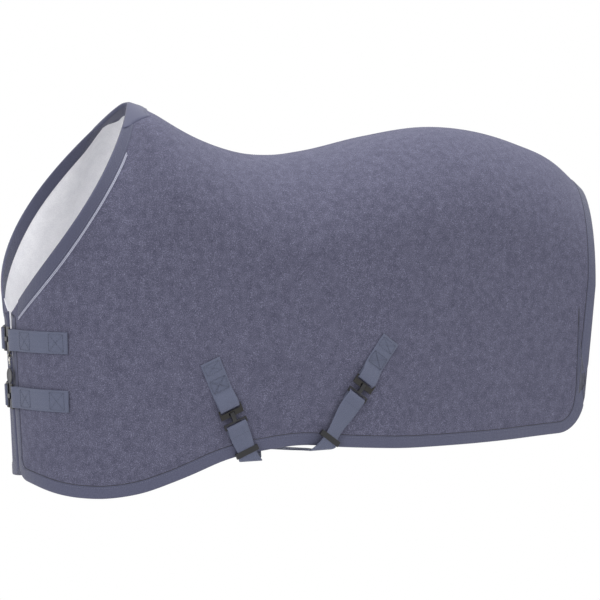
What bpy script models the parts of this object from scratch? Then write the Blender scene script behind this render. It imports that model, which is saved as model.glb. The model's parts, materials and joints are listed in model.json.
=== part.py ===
"""Horse cooler sheet: two bonded-fabric side panels joined along the back, a light lining,
edge and neck bindings, a withers patch, two chest closures, two crossed belly straps and a charm.

Metres. +X runs to the tail, -Y is the horse's near (left) side, +Z is up.
The origin lies on the back line at its lowest point, where the sheet rests on the horse.
"""
import math

import bpy
import bmesh
import numpy as np
from mathutils import Matrix, Vector

# ---------------------------------------------------------------- driving dimensions
CHEST_X = -0.645  # front centre line
WITHERS_X = -0.350  # where the neck opening meets the back line
SHOULDER_X = -0.280  # where the rounded front meets the long flank
TAIL_X = 0.930  # rear end of the back line
CHEST_TOP_Z = -0.370  # lowest point of the neck opening
WITHERS_Z = 0.130
FLANK_HALF_WIDTH = 0.270
BARREL_BULGE = 0.020
REAR_TAPER = 0.060
NECK_HALF_WIDTH = 0.200
NECK_ROUNDING = 0.30  # how soon the neck edge turns from the chest into its slope
CROWN_DROP = 0.250  # height over which the cloth rounds from the back line to the flank
CROWN_SHARE = 0.45  # share of each rib's run taken by that rounding
REAR_SWEEP = 0.085  # how far the rear edge lies in front of the tail point
HEM_REAR_SWEEP = 0.028
CHEST_TUCK = 0.020
FRONT_CORNER_R = 0.050
REAR_CORNER_R = 0.090
FRONT_HALF_GAP = 0.008
SEAM_GAP = 0.0004
BACK_LINE = ((-0.35, 0.130), (-0.27, 0.080), (-0.16, 0.031), (-0.04, 0.003), (0.02, 0.001), (0.12, 0.013),
             (0.30, 0.052), (0.45, 0.074), (0.56, 0.070), (0.72, 0.035), (0.84, -0.012), (0.93, -0.080))
HEM_LINE = ((-0.645, -0.748), (-0.60, -0.766), (-0.52, -0.776), (-0.43, -0.766), (-0.33, -0.736),
            (-0.22, -0.699), (-0.11, -0.681), (0.0, -0.675), (0.12, -0.686), (0.30, -0.699),
            (0.50, -0.702), (0.93, -0.700))

SHELL_T = 0.0020
LINING_T = 0.0012
LAYER_GAP = 0.0003
TAPE_T = 0.0010
TAPE_CLEARANCE = 0.0009
BINDING_W = 0.026
PATCH_W = 0.050
PATCH_REACH = 0.0076  # how far the withers patch stands off the cloth, over the neck binding
PIPING_R = 0.0014
SEAM_TAPE_HALF_W = 0.009

WEBBING_W = 0.050
WEBBING_T = 0.0016
TAB_LENGTH = 0.118
STRAP_LIFT = 0.0105  # middle of the strap above the cloth, clear of the hem binding and the slider
CLIP_GAP = 0.0003
CLIP_T = 0.0030
CLIP_RAIL = 0.0035
CLIP_SLOT = 0.0062  # slot that the folded webbing passes through
HOOK_WINDOW = 0.0064
HOOK_WINDOW_W = 0.014
HOOK_NECK_W = 0.010
HOOK_REACH = 0.0220  # from the tip of the hook to its webbing frame
GATE_T = 0.0012
SLIDER_L = 0.014
SLIDER_TRAVEL = 0.030

# name, top of the tab (x, z), lean from the vertical, then the strap's course under the belly:
# x where it is sewn on the far side, its height at the near hem and at the far hem, and its sag
BELLY_CLOSURES = (("front", -0.260, -0.467, 23.0, (0.100, -0.706, -0.700, 0.008)),
                  ("rear", 0.208, -0.432, -39.0, (-0.230, -0.690, -0.719, 0.003)))
HEM_TURN_R = 0.008
FAR_TURN_R = 0.016
FAR_PATCH_HALF_W = 0.030
# height of the upper chest strap's middle, which carries the charm
UPPER_CHEST_Z = -0.425
CHEST_TAB_REACH = 0.170
CHEST_TAB_SETTLE = 0.0014  # how much nearer the cloth the tab lies past the edge binding
CHEST_TAB_LEVEL = 0.050  # where the tab lies level again, past the bend at its clip
CHEST_CLIP_START = 0.022  # distance of the tab's folded end from the centre line

CHARM_WIRE_R = 0.0015
CHARM_HOOK_R = 0.0039
CHARM_DISC_R = 0.0180
CHARM_DISC_T = 0.0036
CHARM_BAR = 0.0030
CHARM_HANG = 0.0388  # from the upper clip's lower edge to the top of the tag

COLOURS = {
    "shell": ((0.135, 0.135, 0.195), 0.95, 0.0), "lining": ((0.55, 0.55, 0.57), 0.95, 0.0),
    "binding": ((0.125, 0.130, 0.195), 0.75, 0.0), "webbing": ((0.130, 0.140, 0.205), 0.7, 0.0),
    "gunmetal": ((0.075, 0.072, 0.062), 0.38, 1.0), "black_metal": ((0.012, 0.012, 0.016), 0.35, 1.0),
    "bright_metal": ((0.55, 0.53, 0.48), 0.25, 1.0), "disc": ((0.065, 0.065, 0.068), 0.5, 0.0),
}


# ---------------------------------------------------------------- the sheet's surface
def smooth_line(points):
    """A smooth curve z(x) through a few chosen points."""
    xs, zs = np.array(points, float).T
    slopes = np.gradient(zs, xs)

    def at(x):
        x = min(max(x, xs[0]), xs[-1])
        i = min(max(int(np.searchsorted(xs, x)) - 1, 0), len(xs) - 2)
        h = xs[i + 1] - xs[i]
        t = (x - xs[i]) / h
        ends = (2 * t**3 - 3 * t**2 + 1) * zs[i] + (3 * t**2 - 2 * t**3) * zs[i + 1]
        return ends + h * ((t**3 - 2 * t**2 + t) * slopes[i] + (t**3 - t**2) * slopes[i + 1])

    return at


back_line = smooth_line(BACK_LINE)
hem_line = smooth_line(HEM_LINE)
FRONT_DEPTH = SHOULDER_X - CHEST_X
FRONT_SHARE = 0.34  # share of the sheet's length parameter taken by the rounded front
WITHERS_S = FRONT_SHARE * math.acos((SHOULDER_X - WITHERS_X) / FRONT_DEPTH) / (math.pi / 2)
FRONT_S = FRONT_SHARE * math.asin(FRONT_HALF_GAP / FLANK_HALF_WIDTH) / (math.pi / 2)
PATCH_S = 0.885 * WITHERS_S  # where the withers patch starts on the neck edge


def plan(s):
    """x and half width of the hanging cloth seen from above; s runs from the front edge to the rear."""
    if s < FRONT_SHARE:
        angle = s / FRONT_SHARE * math.pi / 2
        return SHOULDER_X - FRONT_DEPTH * math.cos(angle), FLANK_HALF_WIDTH * math.sin(angle)
    t = (s - FRONT_SHARE) / (1 - FRONT_SHARE)
    half_width = FLANK_HALF_WIDTH + BARREL_BULGE * math.sin(math.pi * t) - REAR_TAPER * t**3
    return SHOULDER_X + (TAIL_X - SHOULDER_X) * t, half_width


def neck_share(x):
    """How far up the neck opening the edge is at x: 0 at the chest, 1 at the withers."""
    along = (x - CHEST_X) / (WITHERS_X - CHEST_X)
    span = math.hypot(1, NECK_ROUNDING) - NECK_ROUNDING
    return math.sqrt(max((along * span + NECK_ROUNDING) ** 2 - NECK_ROUNDING**2, 0.0))


def rib(s):
    """Top half width, top height, flank half width, how directly the rib falls, and hem height."""
    x, half_width = plan(s)
    if x < WITHERS_X:
        q = neck_share(x)
        top_width = NECK_HALF_WIDTH * math.sin(math.pi * min(q, 1.0)) ** 0.8
        top = CHEST_TOP_Z + (WITHERS_Z - CHEST_TOP_Z) * q
    else:
        top_width = 0.0
        top = back_line(x)
    steepness = 1.0 if s < FRONT_SHARE / 4 else min(1.0, top_width / (0.6 * NECK_HALF_WIDTH))
    bottom = hem_line(x)
    from_front = FLANK_HALF_WIDTH * s / FRONT_SHARE * math.pi / 2
    if from_front < FRONT_CORNER_R:
        bottom += FRONT_CORNER_R - math.sqrt(FRONT_CORNER_R**2 - (FRONT_CORNER_R - from_front) ** 2)
    from_rear = (1 - s) / (1 - FRONT_SHARE) * (TAIL_X - REAR_SWEEP - HEM_REAR_SWEEP - SHOULDER_X)
    if from_rear < REAR_CORNER_R:
        into = min(REAR_CORNER_R - from_rear, REAR_CORNER_R)
        bottom += REAR_CORNER_R - math.sqrt(REAR_CORNER_R**2 - into**2)
    return x, half_width, top_width, top, steepness, bottom


def surface(s, v):
    """A point of the near side's cloth; v runs from the top edge to the hem."""
    x, half_width, top_width, top, steepness, bottom = rib(s)
    crown = min(CROWN_DROP, 0.55 * (top - bottom))
    angle = min(max(v, -0.1) / CROWN_SHARE, 1.0) * math.pi / 2
    y = top_width + (half_width - top_width) * math.sin(angle)
    z = top - crown * ((1 - steepness) * (1 - math.cos(angle)) + steepness * angle / (math.pi / 2))
    below = max(v - CROWN_SHARE, 0.0) / (1 - CROWN_SHARE)
    z -= (top - crown - bottom) * below
    if s > FRONT_SHARE:
        t = (s - FRONT_SHARE) / (1 - FRONT_SHARE)
        x -= t * (REAR_SWEEP * math.sin(angle) + HEM_REAR_SWEEP * below)
    else:
        x += CHEST_TUCK * v * (1 - s / FRONT_SHARE) ** 2
    return np.array((x, -y, z))


def slopes(s, v):
    """How the surface point moves with s and with v."""
    step = 0.002
    above, below = max(v - step, 0.0), min(v + step, 1.0)
    fore, aft = s - step, s + step
    if s < WITHERS_S:
        aft = min(aft, WITHERS_S - step / 10)
    else:
        fore = max(fore, WITHERS_S)
    along = (surface(aft, v) - surface(fore, v)) / (aft - fore)
    return along, (surface(s, below) - surface(s, above)) / (below - above)


def normal(s, v):
    along, down = slopes(s, v)
    out = np.cross(down, along)
    return out / np.linalg.norm(out)


def step_on(s, v, move):
    """The parameters reached by a short move, in metres, along the cloth."""
    ds, dv = np.linalg.lstsq(np.array(slopes(s, v)).T, move, rcond=None)[0]
    return s + ds, v + dv


def place(x, z):
    """The parameters of the near side's point at x and z."""
    s, v = 0.5, 0.7
    for _ in range(30):
        gap = np.array((x, 0.0, z)) - surface(s, v)
        along, down = slopes(s, v)
        ds, dv = np.linalg.solve(np.array(((along[0], down[0]), (along[2], down[2]))), (gap[0], gap[2]))
        s = min(max(s + ds, 0.01), 0.99)
        v = min(max(v + dv, 0.02), 0.98)
    return s, v


# ---------------------------------------------------------------- making solids
def material(name):
    found = bpy.data.materials.get(name)
    if found:
        return found
    colour, roughness, metallic = COLOURS[name]
    made = bpy.data.materials.new(name)
    made.use_nodes = True
    shader = made.node_tree.nodes["Principled BSDF"]
    shader.inputs["Base Color"].default_value = (*colour, 1.0)
    shader.inputs["Roughness"].default_value = roughness
    shader.inputs["Metallic"].default_value = metallic
    made.diffuse_color = (*colour, 1.0)
    return made


def add_object(name, points, faces, finish, origin=(0, 0, 0)):
    """A mesh object with its normals facing out, its origin at a joint's axis where it moves."""
    mesh = bpy.data.meshes.new(name)
    mesh.from_pydata([tuple(np.array(p) - np.array(origin)) for p in points], [], faces)
    shape = bmesh.new()
    shape.from_mesh(mesh)
    bmesh.ops.recalc_face_normals(shape, faces=shape.faces)
    shape.to_mesh(mesh)
    shape.free()
    mesh.shade_smooth()
    mesh.set_sharp_from_angle(angle=math.radians(35))
    mesh.materials.append(material(finish))
    made = bpy.data.objects.new(name, mesh)
    made.location = origin
    bpy.context.collection.objects.link(made)
    return made


def mirrored(point):
    return np.array((point[0], -point[1], point[2]))


def tape_share(s):
    """How far down the cloth's own grid the neck binding reaches."""
    if not FRONT_S < s < WITHERS_S - 0.002:
        return PANEL_V[1]
    along, down = slopes(s, 0.0)
    return BINDING_W * np.linalg.norm(along) / np.linalg.norm(np.cross(along, down))


def layer(name, side, low, high, finish):
    """One cloth layer of a side panel, between two heights over the surface."""
    grids = []
    for height in (low, high):
        grid = []
        for s in PANEL_S:
            row = []
            for v in [0.0, tape_share(s)] + PANEL_V[2:]:
                p = surface(s, v) + normal(s, v) * height
                p[1] = min(p[1], -SEAM_GAP / 2)
                row.append(p if side == "near" else mirrored(p))
            grid.append(row)
        grids.append(grid)
    m, n = len(PANEL_S), len(PANEL_V)
    points = [p for grid in grids for row in grid for p in row]
    faces = []
    for i in range(m - 1):
        for j in range(n - 1):
            a, b, c, d = i * n + j, (i + 1) * n + j, (i + 1) * n + j + 1, i * n + j + 1
            for triangle in ((a, b, c), (a, c, d)):
                faces.append(triangle)
                faces.append(tuple(k + m * n for k in reversed(triangle)))
    rim = [(i, 0) for i in range(m)] + [(m - 1, j) for j in range(1, n)]
    rim += [(i, n - 1) for i in range(m - 2, -1, -1)] + [(0, j) for j in range(n - 2, 0, -1)]
    for (i, j), (k, l) in zip(rim, rim[1:] + rim[:1]):
        faces.append((i * n + j, k * n + l, k * n + l + m * n, i * n + j + m * n))
    return add_object(name, points, faces, finish)


def swept(name, rings, finish, closed=False, origin=(0, 0, 0), as_cloth=False):
    """A solid through a row of equal rings of points, capped unless it closes on itself.

    Each side splits along its shorter diagonal, or as the cloth's own grid does under a tape folded
    round it.
    """
    n = len(rings[0])
    points = [np.array(p, float) for ring in rings for p in ring]
    pairs = list(zip(range(len(rings)), range(1, len(rings))))
    if closed:
        pairs.append((len(rings) - 1, 0))
    faces = []
    for a, b in pairs:
        for k in range(n):
            a_here, a_next, b_here, b_next = a * n + k, a * n + (k + 1) % n, b * n + k, b * n + (k + 1) % n
            if as_cloth:
                crossed = k // (n // 4) % 2 == 0
            else:
                crossed = np.linalg.norm(points[a_next] - points[b_here]) < np.linalg.norm(points[a_here] - points[b_next])
            if crossed:
                faces += [(a_here, a_next, b_here), (a_next, b_next, b_here)]
            else:
                faces += [(a_here, a_next, b_next), (a_here, b_next, b_here)]
    if not closed:
        faces.append(tuple(range(n)))
        faces.append(tuple(range(len(points) - n, len(points))))
    return add_object(name, points, faces, finish, origin)


def edge_frames(route, inward_hint):
    """Point, normal and inward direction at each parameter pair along an edge of the near side."""
    spots = [surface(s, v) for s, v in route]
    frames = []
    for i, (s, v) in enumerate(route):
        run = spots[min(i + 1, len(spots) - 1)] - spots[max(i - 1, 0)]
        out = normal(s, v)
        inward = np.cross(out, run / np.linalg.norm(run))
        inward /= np.linalg.norm(inward)
        if inward @ inward_hint(s, v) < 0:
            inward = -inward
        frames.append((s, v, out, inward))
    return frames


def towards_middle(s, v):
    return surface(0.5, 0.6) - surface(s, v)


def binding_ring(frame, side):
    return wrap_ring([(surface(*q), normal(*q)) for q in inward_steps(frame, BINDING_W)], frame[3], side)


def inward_steps(frame, width, count=2):
    """Parameters from an edge inwards, at equal steps over a tape's width.

    Along the neck and the rear edge the steps follow the cloth's own grid, so the tape folds where it
    does.
    """
    s, v, _, inward = frame
    along, down = slopes(s, v)
    if v == 0.0 and FRONT_S < s < WITHERS_S:
        whole, count = (0.0, tape_share(s) * width / BINDING_W), 1
    elif s == 1.0 and v < 0.9:
        whole = (width / (along @ inward), 0.0)
    else:
        far_s, far_v = step_on(s, v, inward * width)
        whole = (far_s - s, far_v - v)
    return [(s + whole[0] * k / count, v + whole[1] * k / count) for k in range(count + 1)]


def wrap_ring(spots, inward, side, reach=TAPE_T + TAPE_CLEARANCE):
    """The U of a folded tape round the cloth's edge, standing reach off it on every side.

    The spots are (point, normal) pairs from the edge inwards.
    """
    high, low = SHELL_T + reach, CLOTH_LOW - reach
    edge, out = spots[0]
    spots = [(edge - inward * reach, out)] + spots[1:]
    inner = [(spots[0][0] + inward * TAPE_T, out)] + spots[1:]
    ring = [p + n * high for p, n in reversed(spots)] + [p + n * low for p, n in spots]
    ring += [p + n * (low + TAPE_T) for p, n in reversed(inner)] + [p + n * (high - TAPE_T) for p, n in inner]
    for p in ring:
        p[1] = min(p[1], -SEAM_GAP / 2)
    return ring if side == "near" else [mirrored(p) for p in ring]


def tube_rings(route, radius, sides=8):
    """Rings of a round bar along a 3-D route."""
    route = [np.array(p, float) for p in route]
    rings = []
    across = None
    for i, p in enumerate(route):
        run = route[min(i + 1, len(route) - 1)] - route[max(i - 1, 0)]
        run /= np.linalg.norm(run)
        if across is None:
            across = np.cross(run, (0.0, 0.0, 1.0) if abs(run[2]) < 0.9 else (0.0, 1.0, 0.0))
        across -= run * (across @ run)
        across /= np.linalg.norm(across)
        other = np.cross(run, across)
        turns = [2 * math.pi * k / sides for k in range(sides)]
        rings.append([p + radius * (math.cos(a) * across + math.sin(a) * other) for a in turns])
    return rings


def ribbon_rings(route, width_way, width, thickness, skewed=()):
    """Rings of a flat webbing along a 3-D route; width_way is the direction across it.

    A ring in skewed keeps that direction exactly, as where webbing folds askew over an edge.
    """
    route = [np.array(p, float) for p in route]
    rings = []
    for i, p in enumerate(route):
        run = route[min(i + 1, len(route) - 1)] - route[max(i - 1, 0)]
        run /= np.linalg.norm(run)
        across = np.array(width_way, float)
        square = across - run * (across @ run)
        if i in skewed:
            across = skewed[i] / np.linalg.norm(skewed[i])
            across = across * width / 2 / np.linalg.norm(across - run * (across @ run))
        else:
            across = square / np.linalg.norm(square) * width / 2
        thick = np.cross(run, across)
        thick = thick / np.linalg.norm(thick) * thickness / 2
        rings.append([p - across - thick, p + across - thick, p + across + thick, p - across + thick])
    return rings


def prism(name, outline, holes, low, high, frame, finish, origin=None, flat=("d", "w")):
    """An extruded outline in a clip's own frame: d along the strap, w across it, n off the cloth."""
    shape = bmesh.new()
    for loop in (outline, *holes):
        corners = [shape.verts.new((a, b, low)) for a, b in loop]
        for a, b in zip(corners, corners[1:] + corners[:1]):
            shape.edges.new((a, b))
    bmesh.ops.triangle_fill(shape, use_beauty=True, edges=shape.edges[:])
    grown = bmesh.ops.extrude_face_region(shape, geom=shape.faces[:])
    for item in grown["geom"]:
        if isinstance(item, bmesh.types.BMVert):
            item.co.z = high
    shape.verts.index_update()
    order = {"dw": (0, 1, 2), "dn": (0, 2, 1)}["".join(flat)]
    points = [frame(*(v.co[k] for k in order)) for v in shape.verts]
    faces = [tuple(v.index for v in f.verts) for f in shape.faces]
    shape.free()
    return add_object(name, points, faces, finish, (0, 0, 0) if origin is None else origin)


def rectangle(low_a, high_a, low_b, high_b):
    return [(low_a, low_b), (high_a, low_b), (high_a, high_b), (low_a, high_b)]


def circle(a, b, radius, sides=16):
    turns = [2 * math.pi * k / sides for k in range(sides)]
    return [(a + radius * math.cos(t), b + radius * math.sin(t)) for t in turns]


def unite(target, helper, name):
    """Joins a helper solid into a piece and keeps it out of the finished object."""
    helper.name = name
    helper.hide_render = True
    helper.display_type = "WIRE"
    joined = target.modifiers.new(name, "BOOLEAN")
    joined.operation = "UNION"
    joined.solver = "EXACT"
    joined.object = helper


def flat_frame(origin, down, out):
    """A clip's own frame: metres along the strap, across it and off the cloth, turned into a point."""
    down, out = down / np.linalg.norm(down), out / np.linalg.norm(out)
    across = np.cross(out, down)

    def point(d, w, n):
        return origin + down * d + across * w + out * n

    return point


# ---------------------------------------------------------------- panels and tapes
PANEL_S = [FRONT_S, 0.014, 0.024, 0.036, 0.055]
PANEL_S += [0.055 + (PATCH_S - 0.055) * k / 9 for k in range(1, 10)]
PANEL_S += [PATCH_S + (WITHERS_S - PATCH_S) * k for k in (0.3, 0.6, 0.82, 0.95, 1.0)]
PANEL_S += [WITHERS_S + (0.90 - WITHERS_S) * k / 12 for k in range(1, 13)]
PANEL_S += [0.93, 0.955, 0.975, 0.988, 0.996, 1.0]
PANEL_V = [0.0, 0.04, 0.10, 0.17, 0.25, 0.34, CROWN_SHARE, 0.62, 0.80, 0.93, 1.0]
CLOTH_LOW = -LAYER_GAP - LINING_T


def build_panels():
    for side in ("near", "far"):
        layer(f"{side}_side_panel", side, 0.0, SHELL_T, "shell")
        layer(f"{side}_side_lining", side, CLOTH_LOW, -LAYER_GAP, "lining")


def build_bindings():
    edge_route = [(FRONT_S, v) for v in PANEL_V] + [(s, 1.0) for s in PANEL_S[1:-1]]
    edge_route += [(1.0, v) for v in reversed(PANEL_V)]
    neck_route = [(s, 0.0) for s in PANEL_S if 0.03 < s < (PATCH_S + WITHERS_S) / 2]
    edge = edge_frames(edge_route, towards_middle)
    neck = edge_frames(neck_route, towards_middle)
    piped = [inward_steps(f, BINDING_W + 2.4 * PIPING_R)[-1] for f in neck if f[0] < PATCH_S - 0.012]
    lift = SHELL_T + PIPING_R + 1.4 * TAPE_CLEARANCE
    for side in ("near", "far"):
        swept(f"{side}_edge_binding", [binding_ring(f, side) for f in edge], "binding")
        swept(f"{side}_neck_binding", [binding_ring(f, side) for f in neck], "binding", as_cloth=True)
        line = [surface(s, v) + normal(s, v) * lift for s, v in piped]
        if side == "far":
            line = [mirrored(p) for p in line]
        swept(f"{side}_neck_piping", tube_rings(line, PIPING_R, 6), "binding")


def over_plan(x, y):
    """The parameters of the crown's point over a place seen from above."""
    s, v = WITHERS_S + 0.02, 0.1
    for _ in range(40):
        gap = np.array((x, -y, 0.0)) - surface(s, v)
        along, down = slopes(s, v)
        ds, dv = np.linalg.solve(np.array(((along[0], down[0]), (along[1], down[1]))), (gap[0], gap[1]))
        s = min(max(s + 0.7 * ds, 0.10), 0.9)
        v = min(max(v + 0.7 * dv, 0.0), 0.5)
    return s, v


def ridge_normal(v):
    """The direction off the cloth at the ridge over the withers, between its two slopes."""
    ahead, behind = normal(WITHERS_S - 0.001, v), normal(WITHERS_S, v)
    middle = (ahead + behind) / np.linalg.norm(ahead + behind)
    return middle / (middle @ behind)


def patch_ring(spots, inward):
    """The withers patch's ring: over the neck binding in front, down on the cloth at its rear end."""
    ring = wrap_ring(spots, inward, "near", PATCH_REACH)
    drop = spots[-1][1] * (PATCH_REACH - TAPE_T - 4 * LAYER_GAP)
    ring[0] = ring[0] - drop
    ring[-1] = ring[-1] - drop
    return ring


def build_withers_patch():
    """A tape folded over both neck edges where they meet at the withers."""
    covered = [s for s in PANEL_S if PATCH_S - 0.001 < s < WITHERS_S - 0.002]
    near = []
    for s, v, out, inward in edge_frames([(s, 0.0) for s in covered], lambda s, v: np.array((1.0, 0.0, -0.3))):
        edge = surface(s, v)
        end = max(edge[0] + PATCH_W, WITHERS_X + PATCH_W / 3)
        places = [over_plan(x, -edge[1]) for x in ((edge[0] + WITHERS_X) / 2, WITHERS_X, (WITHERS_X + end) / 2, end)]
        spots = [(edge, out)] + [(surface(*q), normal(*q)) for q in places]
        spots[2] = (spots[2][0], ridge_normal(places[1][1]))
        near.append(patch_ring(spots, inward))
    far = [[mirrored(p) for p in ring] for ring in near]
    back = surface(WITHERS_S + 0.02, 0.0) - surface(WITHERS_S, 0.0)
    back /= np.linalg.norm(back)
    out = np.array((-back[2], 0.0, back[0]))
    apex = surface(WITHERS_S, 0.0)
    middle = patch_ring([(apex + back * PATCH_W * share, out) for share in (0.0, 0.06, 0.14, 0.5, 1.0)], back)
    for p in middle:
        p[1] = 0.0
    swept("withers_patch", near + [middle] + far[::-1], "binding")


def build_seam_tape():
    """The tape under the lining along the back seam."""
    first, last = WITHERS_X + PATCH_W + 0.012, TAIL_X - BINDING_W - 0.012
    high, low = CLOTH_LOW - TAPE_CLEARANCE, CLOTH_LOW - TAPE_CLEARANCE - TAPE_T
    rings = []
    for s in PANEL_S:
        x, half_width = plan(s)
        if first < x < last:
            edge_v = CROWN_SHARE * math.asin(SEAM_TAPE_HALF_W / half_width) / (math.pi / 2)
            middle, edge = surface(s, 0.0), surface(s, edge_v)
            out = normal(s, 0.0) * np.array((1.0, 0.0, 1.0))
            row = (edge, middle, mirrored(edge))
            rings.append([p + out * low for p in row] + [p + out * high for p in reversed(row)])
    swept("back_seam_tape", rings, "binding")


# ---------------------------------------------------------------- closures
SLOT_HALF_W = WEBBING_W / 2 + 0.0006
CLIP_HALF_W = SLOT_HALF_W + CLIP_RAIL
# The lower clip sits below the hanging tag.
LOWER_CHEST_Z = UPPER_CHEST_Z - 2 * CLIP_HALF_W - CHARM_HANG - 2 * CHARM_DISC_R
CHEST_CLOSURES = (("upper", UPPER_CHEST_Z, True), ("lower", LOWER_CHEST_Z, False))
LOOP_LENGTH = 3 * CLIP_RAIL + CLIP_SLOT + HOOK_WINDOW
FOLD_R = (math.hypot(CLIP_T, CLIP_RAIL) + WEBBING_T) / 2 / math.cos(math.pi / 12) + CLIP_GAP


# FOLD_R is the bend of the webbing round a clip's rail, and FOLD_TURNS are the angles along it.
FOLD_TURNS = [math.pi / 2 - math.pi * k / 6 for k in range(7)]


def hairpin(length, lift, back):
    """(d, n) points of webbing that comes down to a rail at d = 0, turns round it and goes back."""
    bend = [(FOLD_R * math.cos(a), lift + FOLD_R * math.sin(a)) for a in FOLD_TURNS]
    return [(-length, lift + FOLD_R), *bend, (-back, lift - FOLD_R)]


def loop_plate(name, frame, eye):
    """The plate on the tab: a slot for the webbing, a window for the hook and, if wanted, an eye."""
    start = -CLIP_RAIL / 2
    slot_end = start + CLIP_RAIL + CLIP_SLOT
    window_start = slot_end + CLIP_RAIL
    low, high = STRAP_LIFT - CLIP_T / 2, STRAP_LIFT + CLIP_T / 2
    holes = [rectangle(start + CLIP_RAIL, slot_end, -SLOT_HALF_W, SLOT_HALF_W),
             rectangle(window_start, window_start + HOOK_WINDOW, -HOOK_WINDOW_W / 2, HOOK_WINDOW_W / 2)]
    outline = rectangle(start, start + LOOP_LENGTH, -CLIP_HALF_W, CLIP_HALF_W)
    made = prism(name, outline, holes, low, high, frame, "gunmetal")
    if eye:
        middle, reach = eye_place()
        tongue = rectangle(middle - reach, middle + reach, CLIP_HALF_W - 0.001, CLIP_HALF_W + 2 * reach + CHARM_BAR)
        hole = circle(middle, CLIP_HALF_W + reach, reach - CHARM_BAR / 2, 12)
        tongue = [(a, b) for a, b in tongue]
        tongue[2] = (tongue[2][0], CLIP_HALF_W + reach + reach - CHARM_BAR / 2 + CHARM_BAR)
        tongue[3] = (tongue[3][0], tongue[2][1])
        unite(made, prism(name + "_eye", tongue, [hole], low, high, frame, "gunmetal"), name + "_eye")
    return made


def eye_place():
    """Middle of the charm's eye along the clip, and half the eye's outer width."""
    return LOOP_LENGTH / 2, 0.0046


def hook_and_gate(name, frame, start):
    """The hook that drops through the loop's window, its webbing frame and its sprung gate."""
    low, high = STRAP_LIFT - CLIP_T / 2, STRAP_LIFT + CLIP_T / 2
    tip_start = start + CLIP_GAP
    bar_start = start + HOOK_WINDOW
    tip_end = bar_start - 2 * CLIP_GAP
    bar_end = bar_start + CLIP_RAIL
    root = bar_end + CLIP_RAIL
    rail_start = tip_start + HOOK_REACH
    neck_low = high + CLIP_GAP
    neck_high = neck_low + 0.0026
    tip_low = low - 0.0030
    heel_low = low
    profile = [(tip_start, tip_low), (tip_end, tip_low), (tip_end, neck_low), (root, neck_low),
               (root, heel_low), (root + 0.004, heel_low), (rail_start + 0.001, low), (rail_start + 0.001, high),
               (root + 0.006, neck_high), (tip_start, neck_high)]
    neck = prism(name + "_neck", profile, [], -HOOK_NECK_W / 2, HOOK_NECK_W / 2, frame, "black_metal", flat=("d", "n"))
    frame_end = rail_start + 2 * CLIP_RAIL + CLIP_SLOT
    outline = rectangle(rail_start, frame_end, -CLIP_HALF_W, CLIP_HALF_W)
    slot = rectangle(rail_start + CLIP_RAIL, rail_start + CLIP_RAIL + CLIP_SLOT, -SLOT_HALF_W, SLOT_HALF_W)
    hook = prism(name + "_hook", outline, [slot], low, high, frame, "black_metal")
    unite(hook, neck, name + "_hook_neck")
    gate_high = low - CLIP_GAP
    leaf_end = root - CLIP_GAP
    pivot = frame(leaf_end - GATE_T / 2, 0.0, gate_high - GATE_T / 2)
    leaf = rectangle(tip_end + CLIP_GAP, leaf_end, gate_high - GATE_T, gate_high)
    prism(name + "_gate", leaf, [], -0.003, 0.003, frame, "bright_metal", origin=pivot, flat=("d", "n"))
    return frame_end - CLIP_RAIL / 2


def web_in_frame(name, frame, points, finish="webbing"):
    """Webbing through (d, n) points of a clip's frame."""
    across = frame(0.0, 1.0, 0.0) - frame(0.0, 0.0, 0.0)
    route = [frame(d, 0.0, n) for d, n in points]
    return swept(name, ribbon_rings(route, across, WEBBING_W, WEBBING_T), finish)


HOOK_START = -CLIP_RAIL / 2 + 2 * CLIP_RAIL + CLIP_SLOT  # where the loop's window begins


def build_belly_closure(name, x, z, lean, course):
    s, v = place(x, z)
    out = normal(s, v)
    lean = math.radians(lean)
    along, _ = slopes(s, v)
    along = along / np.linalg.norm(along)
    down = along * math.sin(lean) - np.array((0.0, 0.0, 1.0)) * math.cos(lean)
    start = surface(s, v)
    frame = flat_frame(start + down * TAB_LENGTH, down, out)
    flat = SHELL_T + LAYER_GAP + WEBBING_T / 2
    below = flat + WEBBING_T + LAYER_GAP
    fold = hairpin(TAB_LENGTH, STRAP_LIFT, 0.030)
    tab = [(-TAB_LENGTH, below), (-0.040, below), (-0.014, STRAP_LIFT + FOLD_R)] + fold[1:-1]
    tab += [(-0.012, STRAP_LIFT - FOLD_R), (-0.040, flat), (-TAB_LENGTH + 0.006, flat)]
    web_in_frame(f"{name}_belly_tab", frame, tab)
    loop_plate(f"{name}_belly_loop", frame, False)
    end = hook_and_gate(f"{name}_belly", frame, HOOK_START)
    build_belly_strap(name, frame, end, course)


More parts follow.
